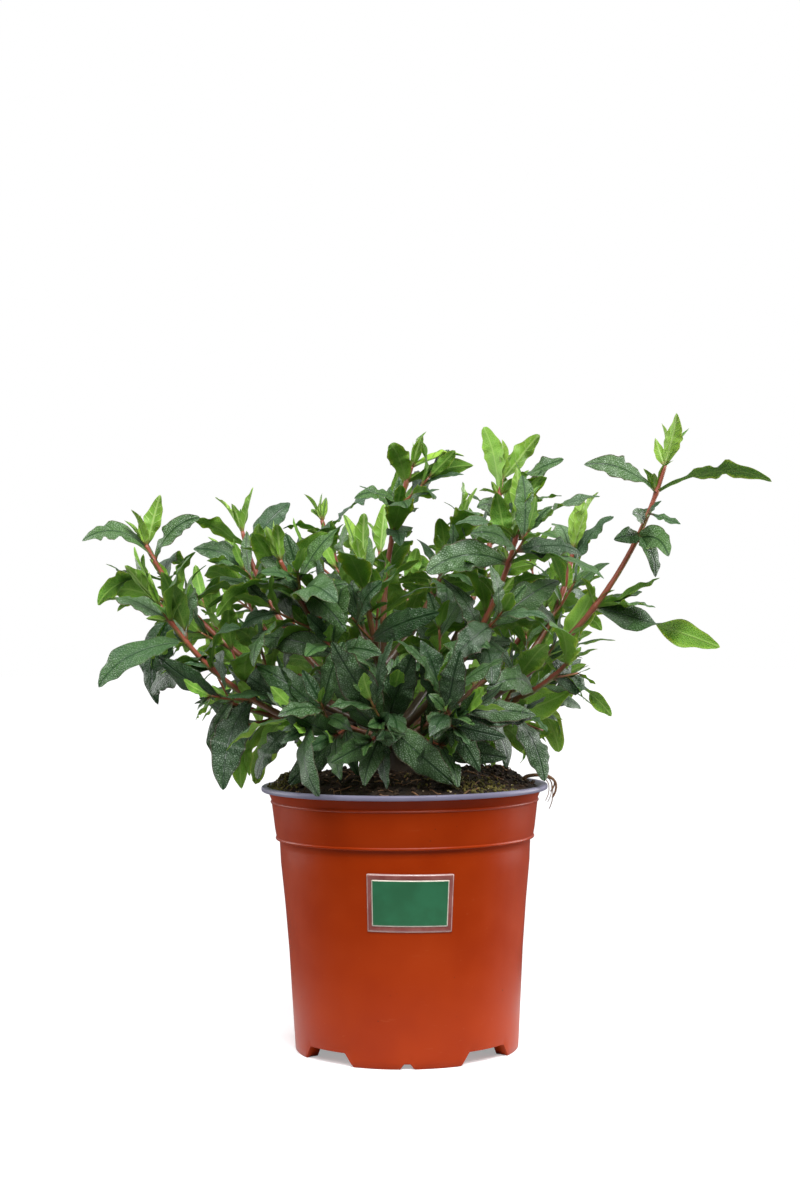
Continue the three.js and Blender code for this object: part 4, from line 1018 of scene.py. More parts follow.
def soil_crumbs(rng, crumb, grit):
    """Crumbs and some grit, spread evenly over the soil. Their size grows with the cube of a draw, so that
    most are small, and grit stays under a limit."""
    out = CRUMB_REACH * np.sqrt(rng.uniform(0.02, 1, CRUMBS))
    turn = rng.uniform(0, 2 * np.pi, CRUMBS)
    x, y = out * np.cos(turn), out * np.sin(turn)
    sizes = 0.55 + 2.3 * rng.uniform(0, 1, CRUMBS) ** 3
    slots = (rng.uniform(0, 1, CRUMBS) < GRIT_SHARE).astype(int)
    sizes = np.where(slots == 1, np.minimum(sizes, LARGEST_GRIT), sizes)
    return crumbs_piece("soil_crumbs", on_soil(x, y, 0.25 * sizes), sizes, 42, [crumb, grit], slots)


def moss_tufts(rng, moss):
    """Small lumps of moss, scattered round the middles of its places by a normal draw."""
    x = np.concatenate([at + rng.normal(0, spread, MOSS_TUFTS) for at, _, spread, _, _ in MOSS_PLACES])
    y = np.concatenate([at + rng.normal(0, spread, MOSS_TUFTS) for _, at, _, spread, _ in MOSS_PLACES])
    keep = np.hypot(x, y) < np.repeat([reach for *_, reach in MOSS_PLACES], MOSS_TUFTS)
    x, y = x[keep], y[keep]
    sizes = rng.uniform(0.5, 1.5, len(x))
    return crumbs_piece("moss_tufts", on_soil(x, y, 0.8), sizes, 43, [moss], np.zeros(len(x), int), 1.1)


def soil_fibres(rng, fibre, root_skin):
    """Thin fibres that bow by the square of the way from their middle and rise a little towards one end.
    Every third is a bit of dried root."""
    fibres = Bundle()
    for k in range(FIBRES):
        r = 84 * math.sqrt(rng.uniform(0.03, 1))
        a = rng.uniform(0, 2 * np.pi)
        length = rng.uniform(3, 13)
        lean = rng.uniform(0, 2 * np.pi)
        t = np.linspace(-0.5, 0.5, 5)
        bow = rng.uniform(-2, 2)
        px = r * math.cos(a) + t * length * math.cos(lean) + bow * t * t * math.sin(lean)
        py = r * math.sin(a) + t * length * math.sin(lean) - bow * t * t * math.cos(lean)
        inside = np.minimum(1, 85.5 / np.hypot(px, py))
        line = on_soil(px * inside, py * inside, 0.45 + 0.8 * rng.uniform() * (t + 0.5))
        points, faces, _ = tube(line, np.full(5, rng.uniform(0.2, 0.55)), 4)
        fibres.add(points, faces, int(k % 3 == 0))
    return fibres.piece("soil_fibres", [fibre, root_skin])


def trailing_roots(root_skin):
    """Thin roots over the rim. Each rises over it as half a sine, falls outside by an eased share of its
    drop, wanders by noise and tapers evenly."""
    roots = Bundle()
    for turn, reach, drop, width in ROOTS:
        t = np.linspace(0, 1, 16)
        start, end = math.radians(turn), math.radians(turn + 3)
        angle = start + (end - start) * t
        out = 80 + (14.5 + reach) * smoothstep(0, 0.75, t) - 2.5 * smoothstep(0.8, 1, t)
        z = 176.5 + 3.2 * np.sin(np.pi * np.clip(t * 1.5, 0, 1)) - drop * smoothstep(0.55, 1, t) ** 1.4
        wander = np.stack([noise(np.stack([t * 9 + turn, t, t], -1), 1.7, s) for s in (1, 2, 3)], -1) * 0.8
        line = np.stack([out * np.cos(angle), out * np.sin(angle), z], -1) + wander
        points, faces, _ = tube(line, width * (1 - 0.6 * t), 6)
        roots.add(points, faces)
    return roots.piece("trailing_roots", [root_skin])


def litter_pieces(crumb, grit, moss, fibre, root_skin):
    """What lies on the soil, and the roots at the right of its rim."""
    rng = np.random.default_rng(41)
    return [soil_crumbs(rng, crumb, grit), moss_tufts(rng, moss), soil_fibres(rng, fibre, root_skin),
            trailing_roots(root_skin)]


def wall_radius(z):
    """The radius of the wall's outside at a height, straight between the section's points."""
    radii, heights = zip(*WALL_OUTSIDE)
    return np.interp(z, heights, radii)


def wrapped_plate(name, size, stand_off, thickness, materials, border=0.0, ridge=0.0):
    """A thin plate bent round the wall. Its thickness rises from a rounded edge, with a low ridge a little
    in from the border; faces further in than the border take the first material, the border the second."""
    columns, rows = 61, 41
    a, b = np.meshgrid(np.linspace(-1, 1, columns), np.linspace(-1, 1, rows))
    x, z = a * size["width"] / 2, b * size["height"] / 2
    corner = size["corner"]
    over_x = np.maximum(np.abs(x) - (size["width"] / 2 - corner), 0)
    over_z = np.maximum(np.abs(z) - (size["height"] / 2 - corner), 0)
    pull = np.maximum(np.hypot(over_x, over_z) / corner, 1)
    x = np.sign(x) * (np.abs(x) - over_x + over_x / pull)
    z = np.sign(z) * (np.abs(z) - over_z + over_z / pull)
    inset = np.minimum(size["width"] / 2 - np.abs(x), size["height"] / 2 - np.abs(z))
    top = thickness * smoothstep(-0.2, 0.5, inset) + ridge * np.exp(-((inset - 1.6) / 0.5) ** 2)
    cosine, sine = math.cos(LABEL_LEAN), math.sin(LABEL_LEAN)
    x, z = x * cosine - z * sine, x * sine + z * cosine
    points = []
    for rise in (np.zeros_like(top), top):
        out = wall_radius(LABEL_MIDDLE + z) + stand_off + rise
        angle = math.radians(LABEL_TURN - 90) + x / wall_radius(LABEL_MIDDLE)
        layer = np.stack([out * np.cos(angle), out * np.sin(angle), LABEL_MIDDLE + z], -1)
        points.append(layer.reshape(-1, 3))
    front = grid_faces(rows, columns, rows * columns, closed=False)
    back = grid_faces(rows, columns, 0, closed=False)[:, ::-1]
    index = np.arange(rows * columns).reshape(rows, columns)
    loop = np.concatenate([index[0, :-1], index[:-1, -1], index[-1, :0:-1], index[:0:-1, 0]])
    nxt = np.roll(loop, -1)
    edge = np.stack([loop, nxt, nxt + rows * columns, loop + rows * columns], -1)
    middle = inset.ravel()[front - rows * columns].mean(axis=1)
    slots = np.concatenate([(middle < border).astype(int), np.zeros(len(back) + len(edge), int)])
    corners = front.tolist() + back.tolist() + edge.tolist()
    return new_piece(name, np.concatenate(points), corners, materials, slots)


# Materials

def hex_linear(code):
    """The linear RGBA of an sRGB hex colour: a dark channel is divided by 12.92, and a lighter one is shifted
    and raised to the power of 2.4."""
    channels = [int(code[i:i + 2], 16) / 255 for i in (1, 3, 5)]
    return tuple(c / 12.92 if c <= 0.04045 else ((c + 0.055) / 1.055) ** 2.4 for c in channels) + (1.0,)


def node(tree, kind, inputs=None, **settings):
    """Adds a shader node with its settings, and sets or links its inputs, which go by name, or by number
    where names repeat. A node given as an input is linked from its first output in use."""
    made = tree.nodes.new("ShaderNode" + kind)
    for name, value in settings.items():
        setattr(made, name, value)
    named = {socket.name: socket for socket in reversed(made.inputs) if socket.enabled}
    for key, value in (inputs or {}).items():
        socket = made.inputs[key] if isinstance(key, int) else named[key]
        if isinstance(value, bpy.types.Node):
            value = next(output for output in value.outputs if output.enabled)
        if isinstance(value, bpy.types.NodeSocket):
            tree.links.new(value, socket)
        else:
            socket.default_value = value
    return made


def new_material(name):
    """A material without nodes yet, and its tree."""
    made = bpy.data.materials.new(name)
    made.use_nodes = True
    made.node_tree.nodes.clear()
    return made, made.node_tree


EASED = {"interpolation_type": "SMOOTHSTEP"}
COLOURS = {"data_type": "RGBA"}


def leaf_skin(name, dark, light, vein_and_groove_shade, bloom_and_sheen, margin, roughness, coat, bloom_and_sheen_share, relief_mm, under=False,
              smooth=False):
    """Living leaf blade: a waxy cuticle grown over green tissue, which gives a soft gloss and lets a little
    yellow-green light through. From above the veins are sunken, and their darker colour there is painted
    shade in the grooves; the cushions between them carry a grey bloom on old leaves, partly real wax and
    partly painted grey sheen. From below the veins stand out pale. A young leaf is smooth between side veins."""
    made, tree = new_material(name)
    plan = node(tree, "Attribute", attribute_name="plan").outputs["Vector"]
    along, aside, share = node(tree, "SeparateXYZ", {"Vector": plan}).outputs
    tint = node(tree, "Attribute", attribute_name="tint").outputs["Vector"]
    first_draw, second_draw, age = node(tree, "SeparateXYZ", {"Vector": tint}).outputs
    place = node(tree, "TexCoord").outputs["Object"]
    out = node(tree, "Math", {0: aside}, operation="ABSOLUTE")
    midrib = node(tree, "MapRange", {"Value": out, "From Min": MIDRIB_MM, "From Max": 0.3}, **EASED)
    # Side veins leave the midrib at an even distance and wander forward as they go out.
    wander = node(tree, "TexNoise", {"Vector": place, "Scale": 1 / (6 * MM),
                                     "Detail": 2.0, "Roughness": 0.55})
    slant = node(tree, "Math", {0: out, 1: -1.15, 2: along}, operation="MULTIPLY_ADD")
    slant = node(tree, "Math", {0: wander, 1: 7.0, 2: slant}, operation="MULTIPLY_ADD")
    start = node(tree, "Math", {0: first_draw, 1: 7.0}, operation="MULTIPLY")
    step = node(tree, "Math", {0: slant, 1: 1 / SIDE_VEIN_GAP_MM, 2: start}, operation="MULTIPLY_ADD")
    step = node(tree, "Math", {0: step}, operation="FRACT")
    off_middle = node(tree, "Math", {0: step, 1: 0.5}, operation="SUBTRACT")
    off_middle = node(tree, "Math", {0: off_middle}, operation="ABSOLUTE")
    off_middle = node(tree, "Math", {0: off_middle, 1: 2.0}, operation="MULTIPLY")
    side_vein = node(tree, "MapRange", {"Value": off_middle, "From Min": 0.74, "From Max": 0.97}, **EASED)
    faint_side_vein = node(tree, "Math", {0: side_vein, 1: 0.6}, operation="MULTIPLY")
    veins = node(tree, "Math", {0: midrib, 1: faint_side_vein}, operation="MAXIMUM")
    if not smooth:
        # The real net's finest cells are under a millimetre. They are drawn coarser, so that they show.
        cells = node(tree, "TexVoronoi", {"Vector": plan, "Scale": NET_CELLS_PER_MM, "Randomness": 0.9},
                     feature="DISTANCE_TO_EDGE", voronoi_dimensions="2D")
        net = node(tree, "MapRange", {"Value": cells, "From Min": 0.3, "From Max": 0.0}, **EASED)
        net = node(tree, "Math", {0: net, 1: 0.52}, operation="MULTIPLY")
        veins = node(tree, "Math", {0: veins, 1: net}, operation="MAXIMUM")

    # The green varies in patches and from leaf to leaf, and a young leaf darkens as it ages.
    patches = node(tree, "TexNoise", {"Vector": place, "Scale": 1 / (16 * MM),
                                      "Detail": 2.0, "Roughness": 0.55})
    own = node(tree, "Math", {0: second_draw, 1: 0.55}, operation="MULTIPLY")
    shade = node(tree, "Math", {0: patches, 1: 0.6, 2: own}, operation="MULTIPLY_ADD")
    if smooth:
        shade = node(tree, "Math", {0: age, 1: -2.4, 2: shade}, operation="MULTIPLY_ADD")
    lightness = node(tree, "MapRange", {"Value": shade, "From Min": 0.25, "From Max": 0.85}, **EASED)
    colour = node(tree, "Mix", {"Factor": lightness, "A": hex_linear(dark), "B": hex_linear(light)},
                  **COLOURS)

    # Bloom lies in patches on the cushions, and is heavier on some leaves than on others. Its grey is partly
    # real wax and partly painted sheen.
    cushion = node(tree, "MapRange", {"Value": veins, "From Min": 0.5, "From Max": 0.0}, **EASED)
    cushion = node(tree, "Math", {0: cushion, 1: bloom_and_sheen_share}, operation="MULTIPLY")
    clouds = node(tree, "TexNoise", {"Vector": place, "Scale": 1 / (9 * MM),
                                     "Detail": 2.0, "Roughness": 0.55})
    clouds = node(tree, "MapRange", {"Value": clouds, "From Min": 0.3, "From Max": 0.7,
                                     "To Min": 0.3}, **EASED)
    heaviness = node(tree, "MapRange", {"Value": first_draw, "From Min": 0.1, "From Max": 0.9,
                                        "To Min": 0.25, "To Max": 1.15}, **EASED)
    frost_and_sheen = node(tree, "Math", {0: cushion, 1: clouds}, operation="MULTIPLY")
    frost_and_sheen = node(tree, "Math", {0: frost_and_sheen, 1: heaviness}, operation="MULTIPLY")
    colour = node(tree, "Mix", {"Factor": frost_and_sheen, "A": colour, "B": hex_linear(bloom_and_sheen)}, **COLOURS)
    # On the upper sides the vein colour is darker than the blade: painted shade in the sunken grooves. On the
    # undersides it is the veins' own paler colour.
    drawn_veins_and_groove_shade = node(tree, "Math", {0: veins, 1: 0.85}, operation="MULTIPLY")
    colour = node(tree, "Mix", {"Factor": drawn_veins_and_groove_shade, "A": colour, "B": hex_linear(vein_and_groove_shade)}, **COLOURS)
    if not under:
        # The margin is browned, more on some leaves than on others.
        near_margin = node(tree, "Math", {0: share}, operation="ABSOLUTE")
        rim = node(tree, "MapRange", {"Value": near_margin, "From Min": 0.86, "From Max": 1.0}, **EASED)
        browned = node(tree, "MapRange", {"Value": first_draw, "From Min": 0.2, "From Max": 0.9,
                                          "To Min": 0.25, "To Max": 0.85}, **EASED)
        rim = node(tree, "Math", {0: rim, 1: browned}, operation="MULTIPLY")
        colour = node(tree, "Mix", {"Factor": rim, "A": colour, "B": hex_linear(margin)}, **COLOURS)
    # The narrow bases of a pair join round the stem as a reddish sheath.
    sheath = node(tree, "MapRange", {"Value": along, "From Min": 5.5, "From Max": 1.0,
                                     "To Min": 0.0, "To Max": 0.75}, **EASED)
    colour = node(tree, "Mix", {"Factor": sheath, "A": colour, "B": hex_linear("#8A5040")}, **COLOURS)

    # Veins are sunken above and raised below, and the blade is puckered between them.
    height = veins
    if smooth:
        strong_side_vein = node(tree, "Math", {0: side_vein, 1: 0.8}, operation="MULTIPLY")
        height = node(tree, "Math", {0: midrib, 1: strong_side_vein}, operation="MAXIMUM")
    if not under:
        height = node(tree, "Math", {0: 1.0, 1: height}, operation="SUBTRACT")
    puckers = node(tree, "TexNoise", {"Vector": place, "Scale": 1 / (4 * MM),
                                      "Detail": 2.0, "Roughness": 0.55})
    pucker_height = 1.2 if smooth or under else 2.6
    height = node(tree, "Math", {0: puckers, 1: pucker_height, 2: height}, operation="MULTIPLY_ADD")
    relief = node(tree, "Bump", {"Height": height, "Strength": 0.85, "Distance": relief_mm * MM})
    surface = node(tree, "BsdfPrincipled", {
        "Base Color": colour, "Normal": relief, "IOR": 1.45, "Roughness": roughness, "Coat Weight": coat,
        "Coat Roughness": 0.32, "Subsurface Weight": 0.16 if under or smooth else 0.0,
        "Subsurface Radius": (1.0, 1.1, 0.25), "Subsurface Scale": 0.8 * MM})
    node(tree, "OutputMaterial", {"Surface": surface})
    return made


def stem_skin(name, old, ripe, young, roughness, coat, relief_mm):
    """Stem: grey-brown flaking bark on old wood, matt and cracked, ripening through orange-brown from the
    sticky skin of this year's growth, which has a thin gloss, reddened by the sun above and left olive green
    below. Ageing runs from 0 at a tip to 1 on old wood."""
    made, tree = new_material(name)
    ageing = node(tree, "Attribute", attribute_name="ageing").outputs["Vector"]
    age, up, _ = node(tree, "SeparateXYZ", {"Vector": ageing}).outputs
    place = node(tree, "TexCoord").outputs["Object"]
    mottle = node(tree, "TexNoise", {"Vector": place, "Scale": 1 / (7 * MM),
                                     "Detail": 4.0, "Roughness": 0.55})
    fine = node(tree, "TexNoise", {"Vector": place, "Scale": 1 / (1.2 * MM),
                                   "Detail": 3.0, "Roughness": 0.55})
    uneven = node(tree, "Math", {0: mottle, 1: 0.5}, operation="SUBTRACT")
    ripened = node(tree, "Math", {0: uneven, 1: 0.5, 2: age}, operation="MULTIPLY_ADD")
    sunned = node(tree, "Math", {0: mottle, 1: 0.6, 2: up}, operation="MULTIPLY_ADD")
    sunned = node(tree, "MapRange", {"Value": sunned, "From Min": 0.35, "From Max": 0.8}, **EASED)
    colour = node(tree, "Mix", {"Factor": sunned, "A": hex_linear("#77803C"), "B": hex_linear(young)},
                  **COLOURS)
    ripe_share = node(tree, "MapRange", {"Value": ripened, "From Min": 0.15, "From Max": 0.7}, **EASED)
    colour = node(tree, "Mix", {"Factor": ripe_share, "A": colour, "B": hex_linear(ripe)}, **COLOURS)
    old_share = node(tree, "MapRange", {"Value": ripened, "From Min": 0.62, "From Max": 1.0}, **EASED)
    colour = node(tree, "Mix", {"Factor": old_share, "A": colour, "B": hex_linear(old)}, **COLOURS)
    cracks = node(tree, "MapRange", {"Value": fine, "From Min": 0.56, "From Max": 0.75,
                                     "To Min": 0.0, "To Max": 0.45}, **EASED)
    colour = node(tree, "Mix", {"Factor": cracks, "A": colour, "B": hex_linear("#3A2318")}, **COLOURS)
    relief = node(tree, "Bump", {"Height": fine, "Strength": 0.5, "Distance": relief_mm * MM})
    surface = node(tree, "BsdfPrincipled", {
        "Base Color": colour, "Normal": relief, "IOR": 1.5, "Roughness": roughness, "Coat Weight": coat,
        "Coat Roughness": 0.3})
    node(tree, "OutputMaterial", {"Surface": surface})
    return made


def moulded_plastic(name, low, high, scuff, roughness, peel_mm):
    """Polypropylene, injection moulded: a dull gloss with faint streaks down the way it flowed, a fine orange
    peel, fine scuffs and a few dark specks of dirt."""
    made, tree = new_material(name)
    place = node(tree, "TexCoord").outputs["Object"]
    drawn_tall = node(tree, "Mapping", {"Vector": place, "Scale": (1.0, 1.0, 0.12)})
    streaks = node(tree, "TexNoise", {"Vector": drawn_tall, "Scale": 1 / (14 * MM),
                                      "Detail": 1.0, "Roughness": 0.55})
    clouds = node(tree, "TexNoise", {"Vector": place, "Scale": 1 / (45 * MM),
                                     "Detail": 2.0, "Roughness": 0.55})
    cloudy = node(tree, "Math", {0: clouds, 1: 0.85}, operation="MULTIPLY")
    blend = node(tree, "Math", {0: streaks, 1: 0.15, 2: cloudy}, operation="MULTIPLY_ADD")
    lightness = node(tree, "MapRange", {"Value": blend, "From Min": 0.1, "From Max": 0.9}, **EASED)
    colour = node(tree, "Mix", {"Factor": lightness, "A": hex_linear(low), "B": hex_linear(high)}, **COLOURS)
    drawn_long = node(tree, "Mapping", {"Vector": place, "Rotation": (0.5, 0.3, 0.8),
                                        "Scale": (0.05, 1.0, 1.0)})
    scratches = node(tree, "TexNoise", {"Vector": drawn_long, "Scale": 1 / (1.6 * MM),
                                        "Detail": 2.0, "Roughness": 0.55})
    scuffs = node(tree, "MapRange", {"Value": scratches, "From Min": 0.66, "From Max": 0.8,
                                     "To Min": 0.0, "To Max": 0.22}, **EASED)
    colour = node(tree, "Mix", {"Factor": scuffs, "A": colour, "B": hex_linear(scuff)}, **COLOURS)
    dirt = node(tree, "TexNoise", {"Vector": place, "Scale": 1 / (2.4 * MM),
                                   "Detail": 1.0, "Roughness": 0.55})
    specks = node(tree, "MapRange", {"Value": dirt, "From Min": 0.775, "From Max": 0.83,
                                     "To Min": 0.0, "To Max": 0.7}, **EASED)
    colour = node(tree, "Mix", {"Factor": specks, "A": colour, "B": hex_linear("#4A2418")}, **COLOURS)
    dull = node(tree, "Math", {0: scuffs, 1: blend}, operation="ADD")
    dull = node(tree, "MapRange", {"Value": dull, "From Min": 0.3, "From Max": 1.0,
                                   "To Min": roughness - 0.05, "To Max": roughness + 0.12}, **EASED)
    peel = node(tree, "TexNoise", {"Vector": place, "Scale": 1 / (3.5 * MM),
                                   "Detail": 1.0, "Roughness": 0.55})
    relief = node(tree, "Bump", {"Height": peel, "Strength": 0.3, "Distance": peel_mm * MM})
    surface = node(tree, "BsdfPrincipled", {"Base Color": colour, "Normal": relief, "Roughness": dull,
                                            "IOR": 1.49, "Specular IOR Level": 0.16})
    node(tree, "OutputMaterial", {"Surface": surface})
    return made


def earth(name, dark, light, fleck, grain_mm):
    """Peat, milled and crumbled for potting: matt crumbs and fibres, nearly black where moist and brown where
    it dries, with paler flecks."""
    made, tree = new_material(name)
    place = node(tree, "TexCoord").outputs["Object"]
    coarse = node(tree, "TexNoise", {"Vector": place, "Scale": 1 / (12 * MM),
                                     "Detail": 3.0, "Roughness": 0.55})
    grain = node(tree, "TexNoise", {"Vector": place, "Scale": 1 / (grain_mm * MM),
                                    "Detail": 5.0, "Roughness": 0.7})
    grainy = node(tree, "Math", {0: grain, 1: 0.5}, operation="MULTIPLY")
    dryness = node(tree, "Math", {0: coarse, 1: 0.7, 2: grainy}, operation="MULTIPLY_ADD")
    dryness = node(tree, "MapRange", {"Value": dryness, "From Min": 0.4, "From Max": 0.8}, **EASED)
    colour = node(tree, "Mix", {"Factor": dryness, "A": hex_linear(dark), "B": hex_linear(light)}, **COLOURS)
    flecks = node(tree, "MapRange", {"Value": grain, "From Min": 0.66, "From Max": 0.78,
                                     "To Min": 0.0, "To Max": 0.8}, **EASED)
    colour = node(tree, "Mix", {"Factor": flecks, "A": colour, "B": hex_linear(fleck)}, **COLOURS)
    relief = node(tree, "Bump", {"Height": grain, "Strength": 0.9, "Distance": 0.8 * MM})
    surface = node(tree, "BsdfPrincipled", {"Base Color": colour, "Normal": relief, "IOR": 1.4,
                                            "Roughness": 0.93})
    node(tree, "OutputMaterial", {"Surface": surface})
    return made


def plain_finish(name, colour, other, size_mm, roughness, coat=0.0, relief_mm=0.2):
    """A small finish of two near colours in patches, with a fine unevenness a quarter of their size."""
    made, tree = new_material(name)
    place = node(tree, "TexCoord").outputs["Object"]
    patches = node(tree, "TexNoise", {"Vector": place, "Scale": 1 / (size_mm * MM),
                                      "Detail": 3.0, "Roughness": 0.55})
    patches = node(tree, "MapRange", {"Value": patches, "From Min": 0.35, "From Max": 0.65}, **EASED)
    mixed = node(tree, "Mix", {"Factor": patches, "A": hex_linear(colour), "B": hex_linear(other)}, **COLOURS)
    unevenness = node(tree, "TexNoise", {"Vector": place, "Scale": 1 / (size_mm / 4 * MM),
                                         "Detail": 2.0, "Roughness": 0.55})
    relief = node(tree, "Bump", {"Height": unevenness, "Strength": 0.3, "Distance": relief_mm * MM})
    surface = node(tree, "BsdfPrincipled", {
        "Base Color": mixed, "Normal": relief, "IOR": 1.48, "Roughness": roughness, "Coat Weight": coat,
        "Coat Roughness": 0.12})
    node(tree, "OutputMaterial", {"Surface": surface})
    return made


# Camera, floor and light

def photo_camera():
    """The photograph's viewpoint: 1.39 m in front of the pot and a little above its soil."""
    data = bpy.data.cameras.new("photo_camera")
    data.sensor_width = 36
    data.lens = data.sensor_width * FOCAL_PIXELS / max(PHOTO_SIZE)
    camera = bpy.data.objects.new("photo_camera", data)
    bpy.context.scene.collection.objects.link(camera)
    camera.matrix_world = Matrix.Translation(CAMERA_AT * MM) @ CAMERA_TURN
    bpy.context.scene.camera = camera


def area_light(name, place, aim, size, energy):
    """A square light of size metres at place that faces aim, with its sides level."""
    data = bpy.data.lights.new(name, "AREA")
    data.size = size
    data.energy = energy
    lamp = bpy.data.objects.new(name, data)
    z = unit(np.array(place, float) - np.array(aim, float))
    x = unit(np.cross(UP, z))
    y = np.cross(z, x)
    lamp.matrix_world = Matrix([[x[i], y[i], z[i], place[i]] for i in range(3)] + [[0, 0, 0, 1]])
    bpy.context.scene.collection.objects.link(lamp)


def pale_room():
    """A surround that is white to the camera and lights the plant only dimly."""
    world = bpy.data.worlds.new("pale_studio")
    world.use_nodes = True
    tree = world.node_tree
    tree.nodes.clear()
    seen = node(tree, "LightPath").outputs["Is Camera Ray"]
    # Where the camera stands the room is dark; behind the plant it is a pale wall.
    way = node(tree, "SeparateXYZ", {"Vector": node(tree, "TexCoord").outputs["Generated"]})
    glow = node(tree, "MapRange", {"Value": way.outputs["Y"], "From Min": -0.95, "From Max": 0.5,
                                   "To Min": 0.05, "To Max": 0.4}, **EASED)
    dim = node(tree, "Background", {"Color": hex_linear("#F7F8FA"), "Strength": glow})
    white = node(tree, "Background", {"Color": (1, 1, 1, 1), "Strength": 1.0})
    both = node(tree, "MixShader", {0: seen, 1: dim, 2: white})
    node(tree, "OutputWorld", {"Surface": both})
    bpy.context.scene.world = world
    bpy.context.scene.view_settings.view_transform = "Standard"


def lamps():
    """A broad sun-like key from the upper front right that keeps the floor evenly white, a softbox over the
    camera, and two side panels for the sheen on the pot's edges."""
    key = bpy.data.lights.new("key", "SUN")
    key.energy = 2.8
    key.angle = math.radians(30)
    lamp = bpy.data.objects.new("key", key)
    lamp.matrix_world = Matrix.Rotation(math.radians(24), 4, "Z") @ Matrix.Rotation(math.radians(38), 4, "X")
    bpy.context.scene.collection.objects.link(lamp)
    area_light("softbox", (-0.25, -1.05, 1.35), (0, 0, 0.22), size=1.0, energy=17)
    area_light("left_panel", (-1.25, 0.5, 0.45), (0, 0, 0.15), size=0.9, energy=12)
    area_light("right_panel", (1.25, 0.45, 0.45), (0, 0, 0.15), size=0.9, energy=18)


def paper_floor():
    """Sized paper, matt and pale, which the camera sees white to the horizon. The plant is lit by the paper
    close by and hardly by the floor further out. Its glow is for the camera alone, so it isn't sampled as a
    lamp."""
    paper, tree = new_material("studio_floor_paper")
    paper.cycles.emission_sampling = "NONE"
    place = node(tree, "TexCoord").outputs["Object"]
    away = node(tree, "VectorMath", {"Vector": place}, operation="LENGTH").outputs["Value"]
    far = node(tree, "MapRange", {"Value": away, "From Min": 0.13, "From Max": 0.34}, **EASED)
    colour = node(tree, "Mix", {"Factor": far, "A": hex_linear("#E4E4E6"), "B": hex_linear("#39393C")},
                  **COLOURS)
    seen = node(tree, "LightPath").outputs["Is Camera Ray"]
    brightness = node(tree, "Math", {0: far, 1: 0.68, 2: 0.35}, operation="MULTIPLY_ADD")
    brightness = node(tree, "Math", {0: seen, 1: brightness}, operation="MULTIPLY")
    surface = node(tree, "BsdfPrincipled", {"Base Color": colour, "Roughness": 0.9,
                                            "Emission Color": (1, 1, 1, 1), "Emission Strength": brightness})
    node(tree, "OutputMaterial", {"Surface": surface})
    corners = [(x * FLOOR_REACH, y * FLOOR_REACH, 0) for x, y in ((-1, -1), (1, -1), (1, 1), (-1, 1))]
    floor = new_piece("studio_floor", corners, [(0, 1, 2, 3)], [paper], smooth=False)


# The whole plant

def grown_shoots():
    """The path and the growth of every shoot, by name. Each grows in its own space. Then the leaves that show
    in the photograph's outline are turned to their places, and those in its sky are left out."""
    paths = {}
    for shoot in SHOOTS:
        start = trunk_point(shoot.foot) if shoot.parent == "trunk" else paths[shoot.parent].at(shoot.foot)
        paths[shoot.name] = Bend(start, shoot.elbow, shoot.tip)
    lines = {name: path.at(np.linspace(0, path.length, LINE_STEPS + 1)) for name, path in paths.items()}
    growths = {}
    for shoot in SHOOTS:
        path = paths[shoot.name]
        fits = space_of(shoot, lines, paths)
        growth = grow(shoot, path, fits)
        add_tufts(growth, path, shoot, fits)
        add_inner_sprays(growth, path, shoot, fits)
        opened = OPENED.get(shoot.name, {})
        for which, place in POSED.get(shoot.name, {}).items():
            pose(growth["leaves"][which], *place)
        for which, place in opened.items():
            pose(growth["tufts"][which], *place)
        sky = SKY.get(shoot.name, ())
        growth["leaves"] = [leaf for which, leaf in enumerate(growth["leaves"]) if which not in sky]
        growth["leaves"] += [growth["tufts"][which] for which in opened]
        growths[shoot.name] = growth
    return paths, growths


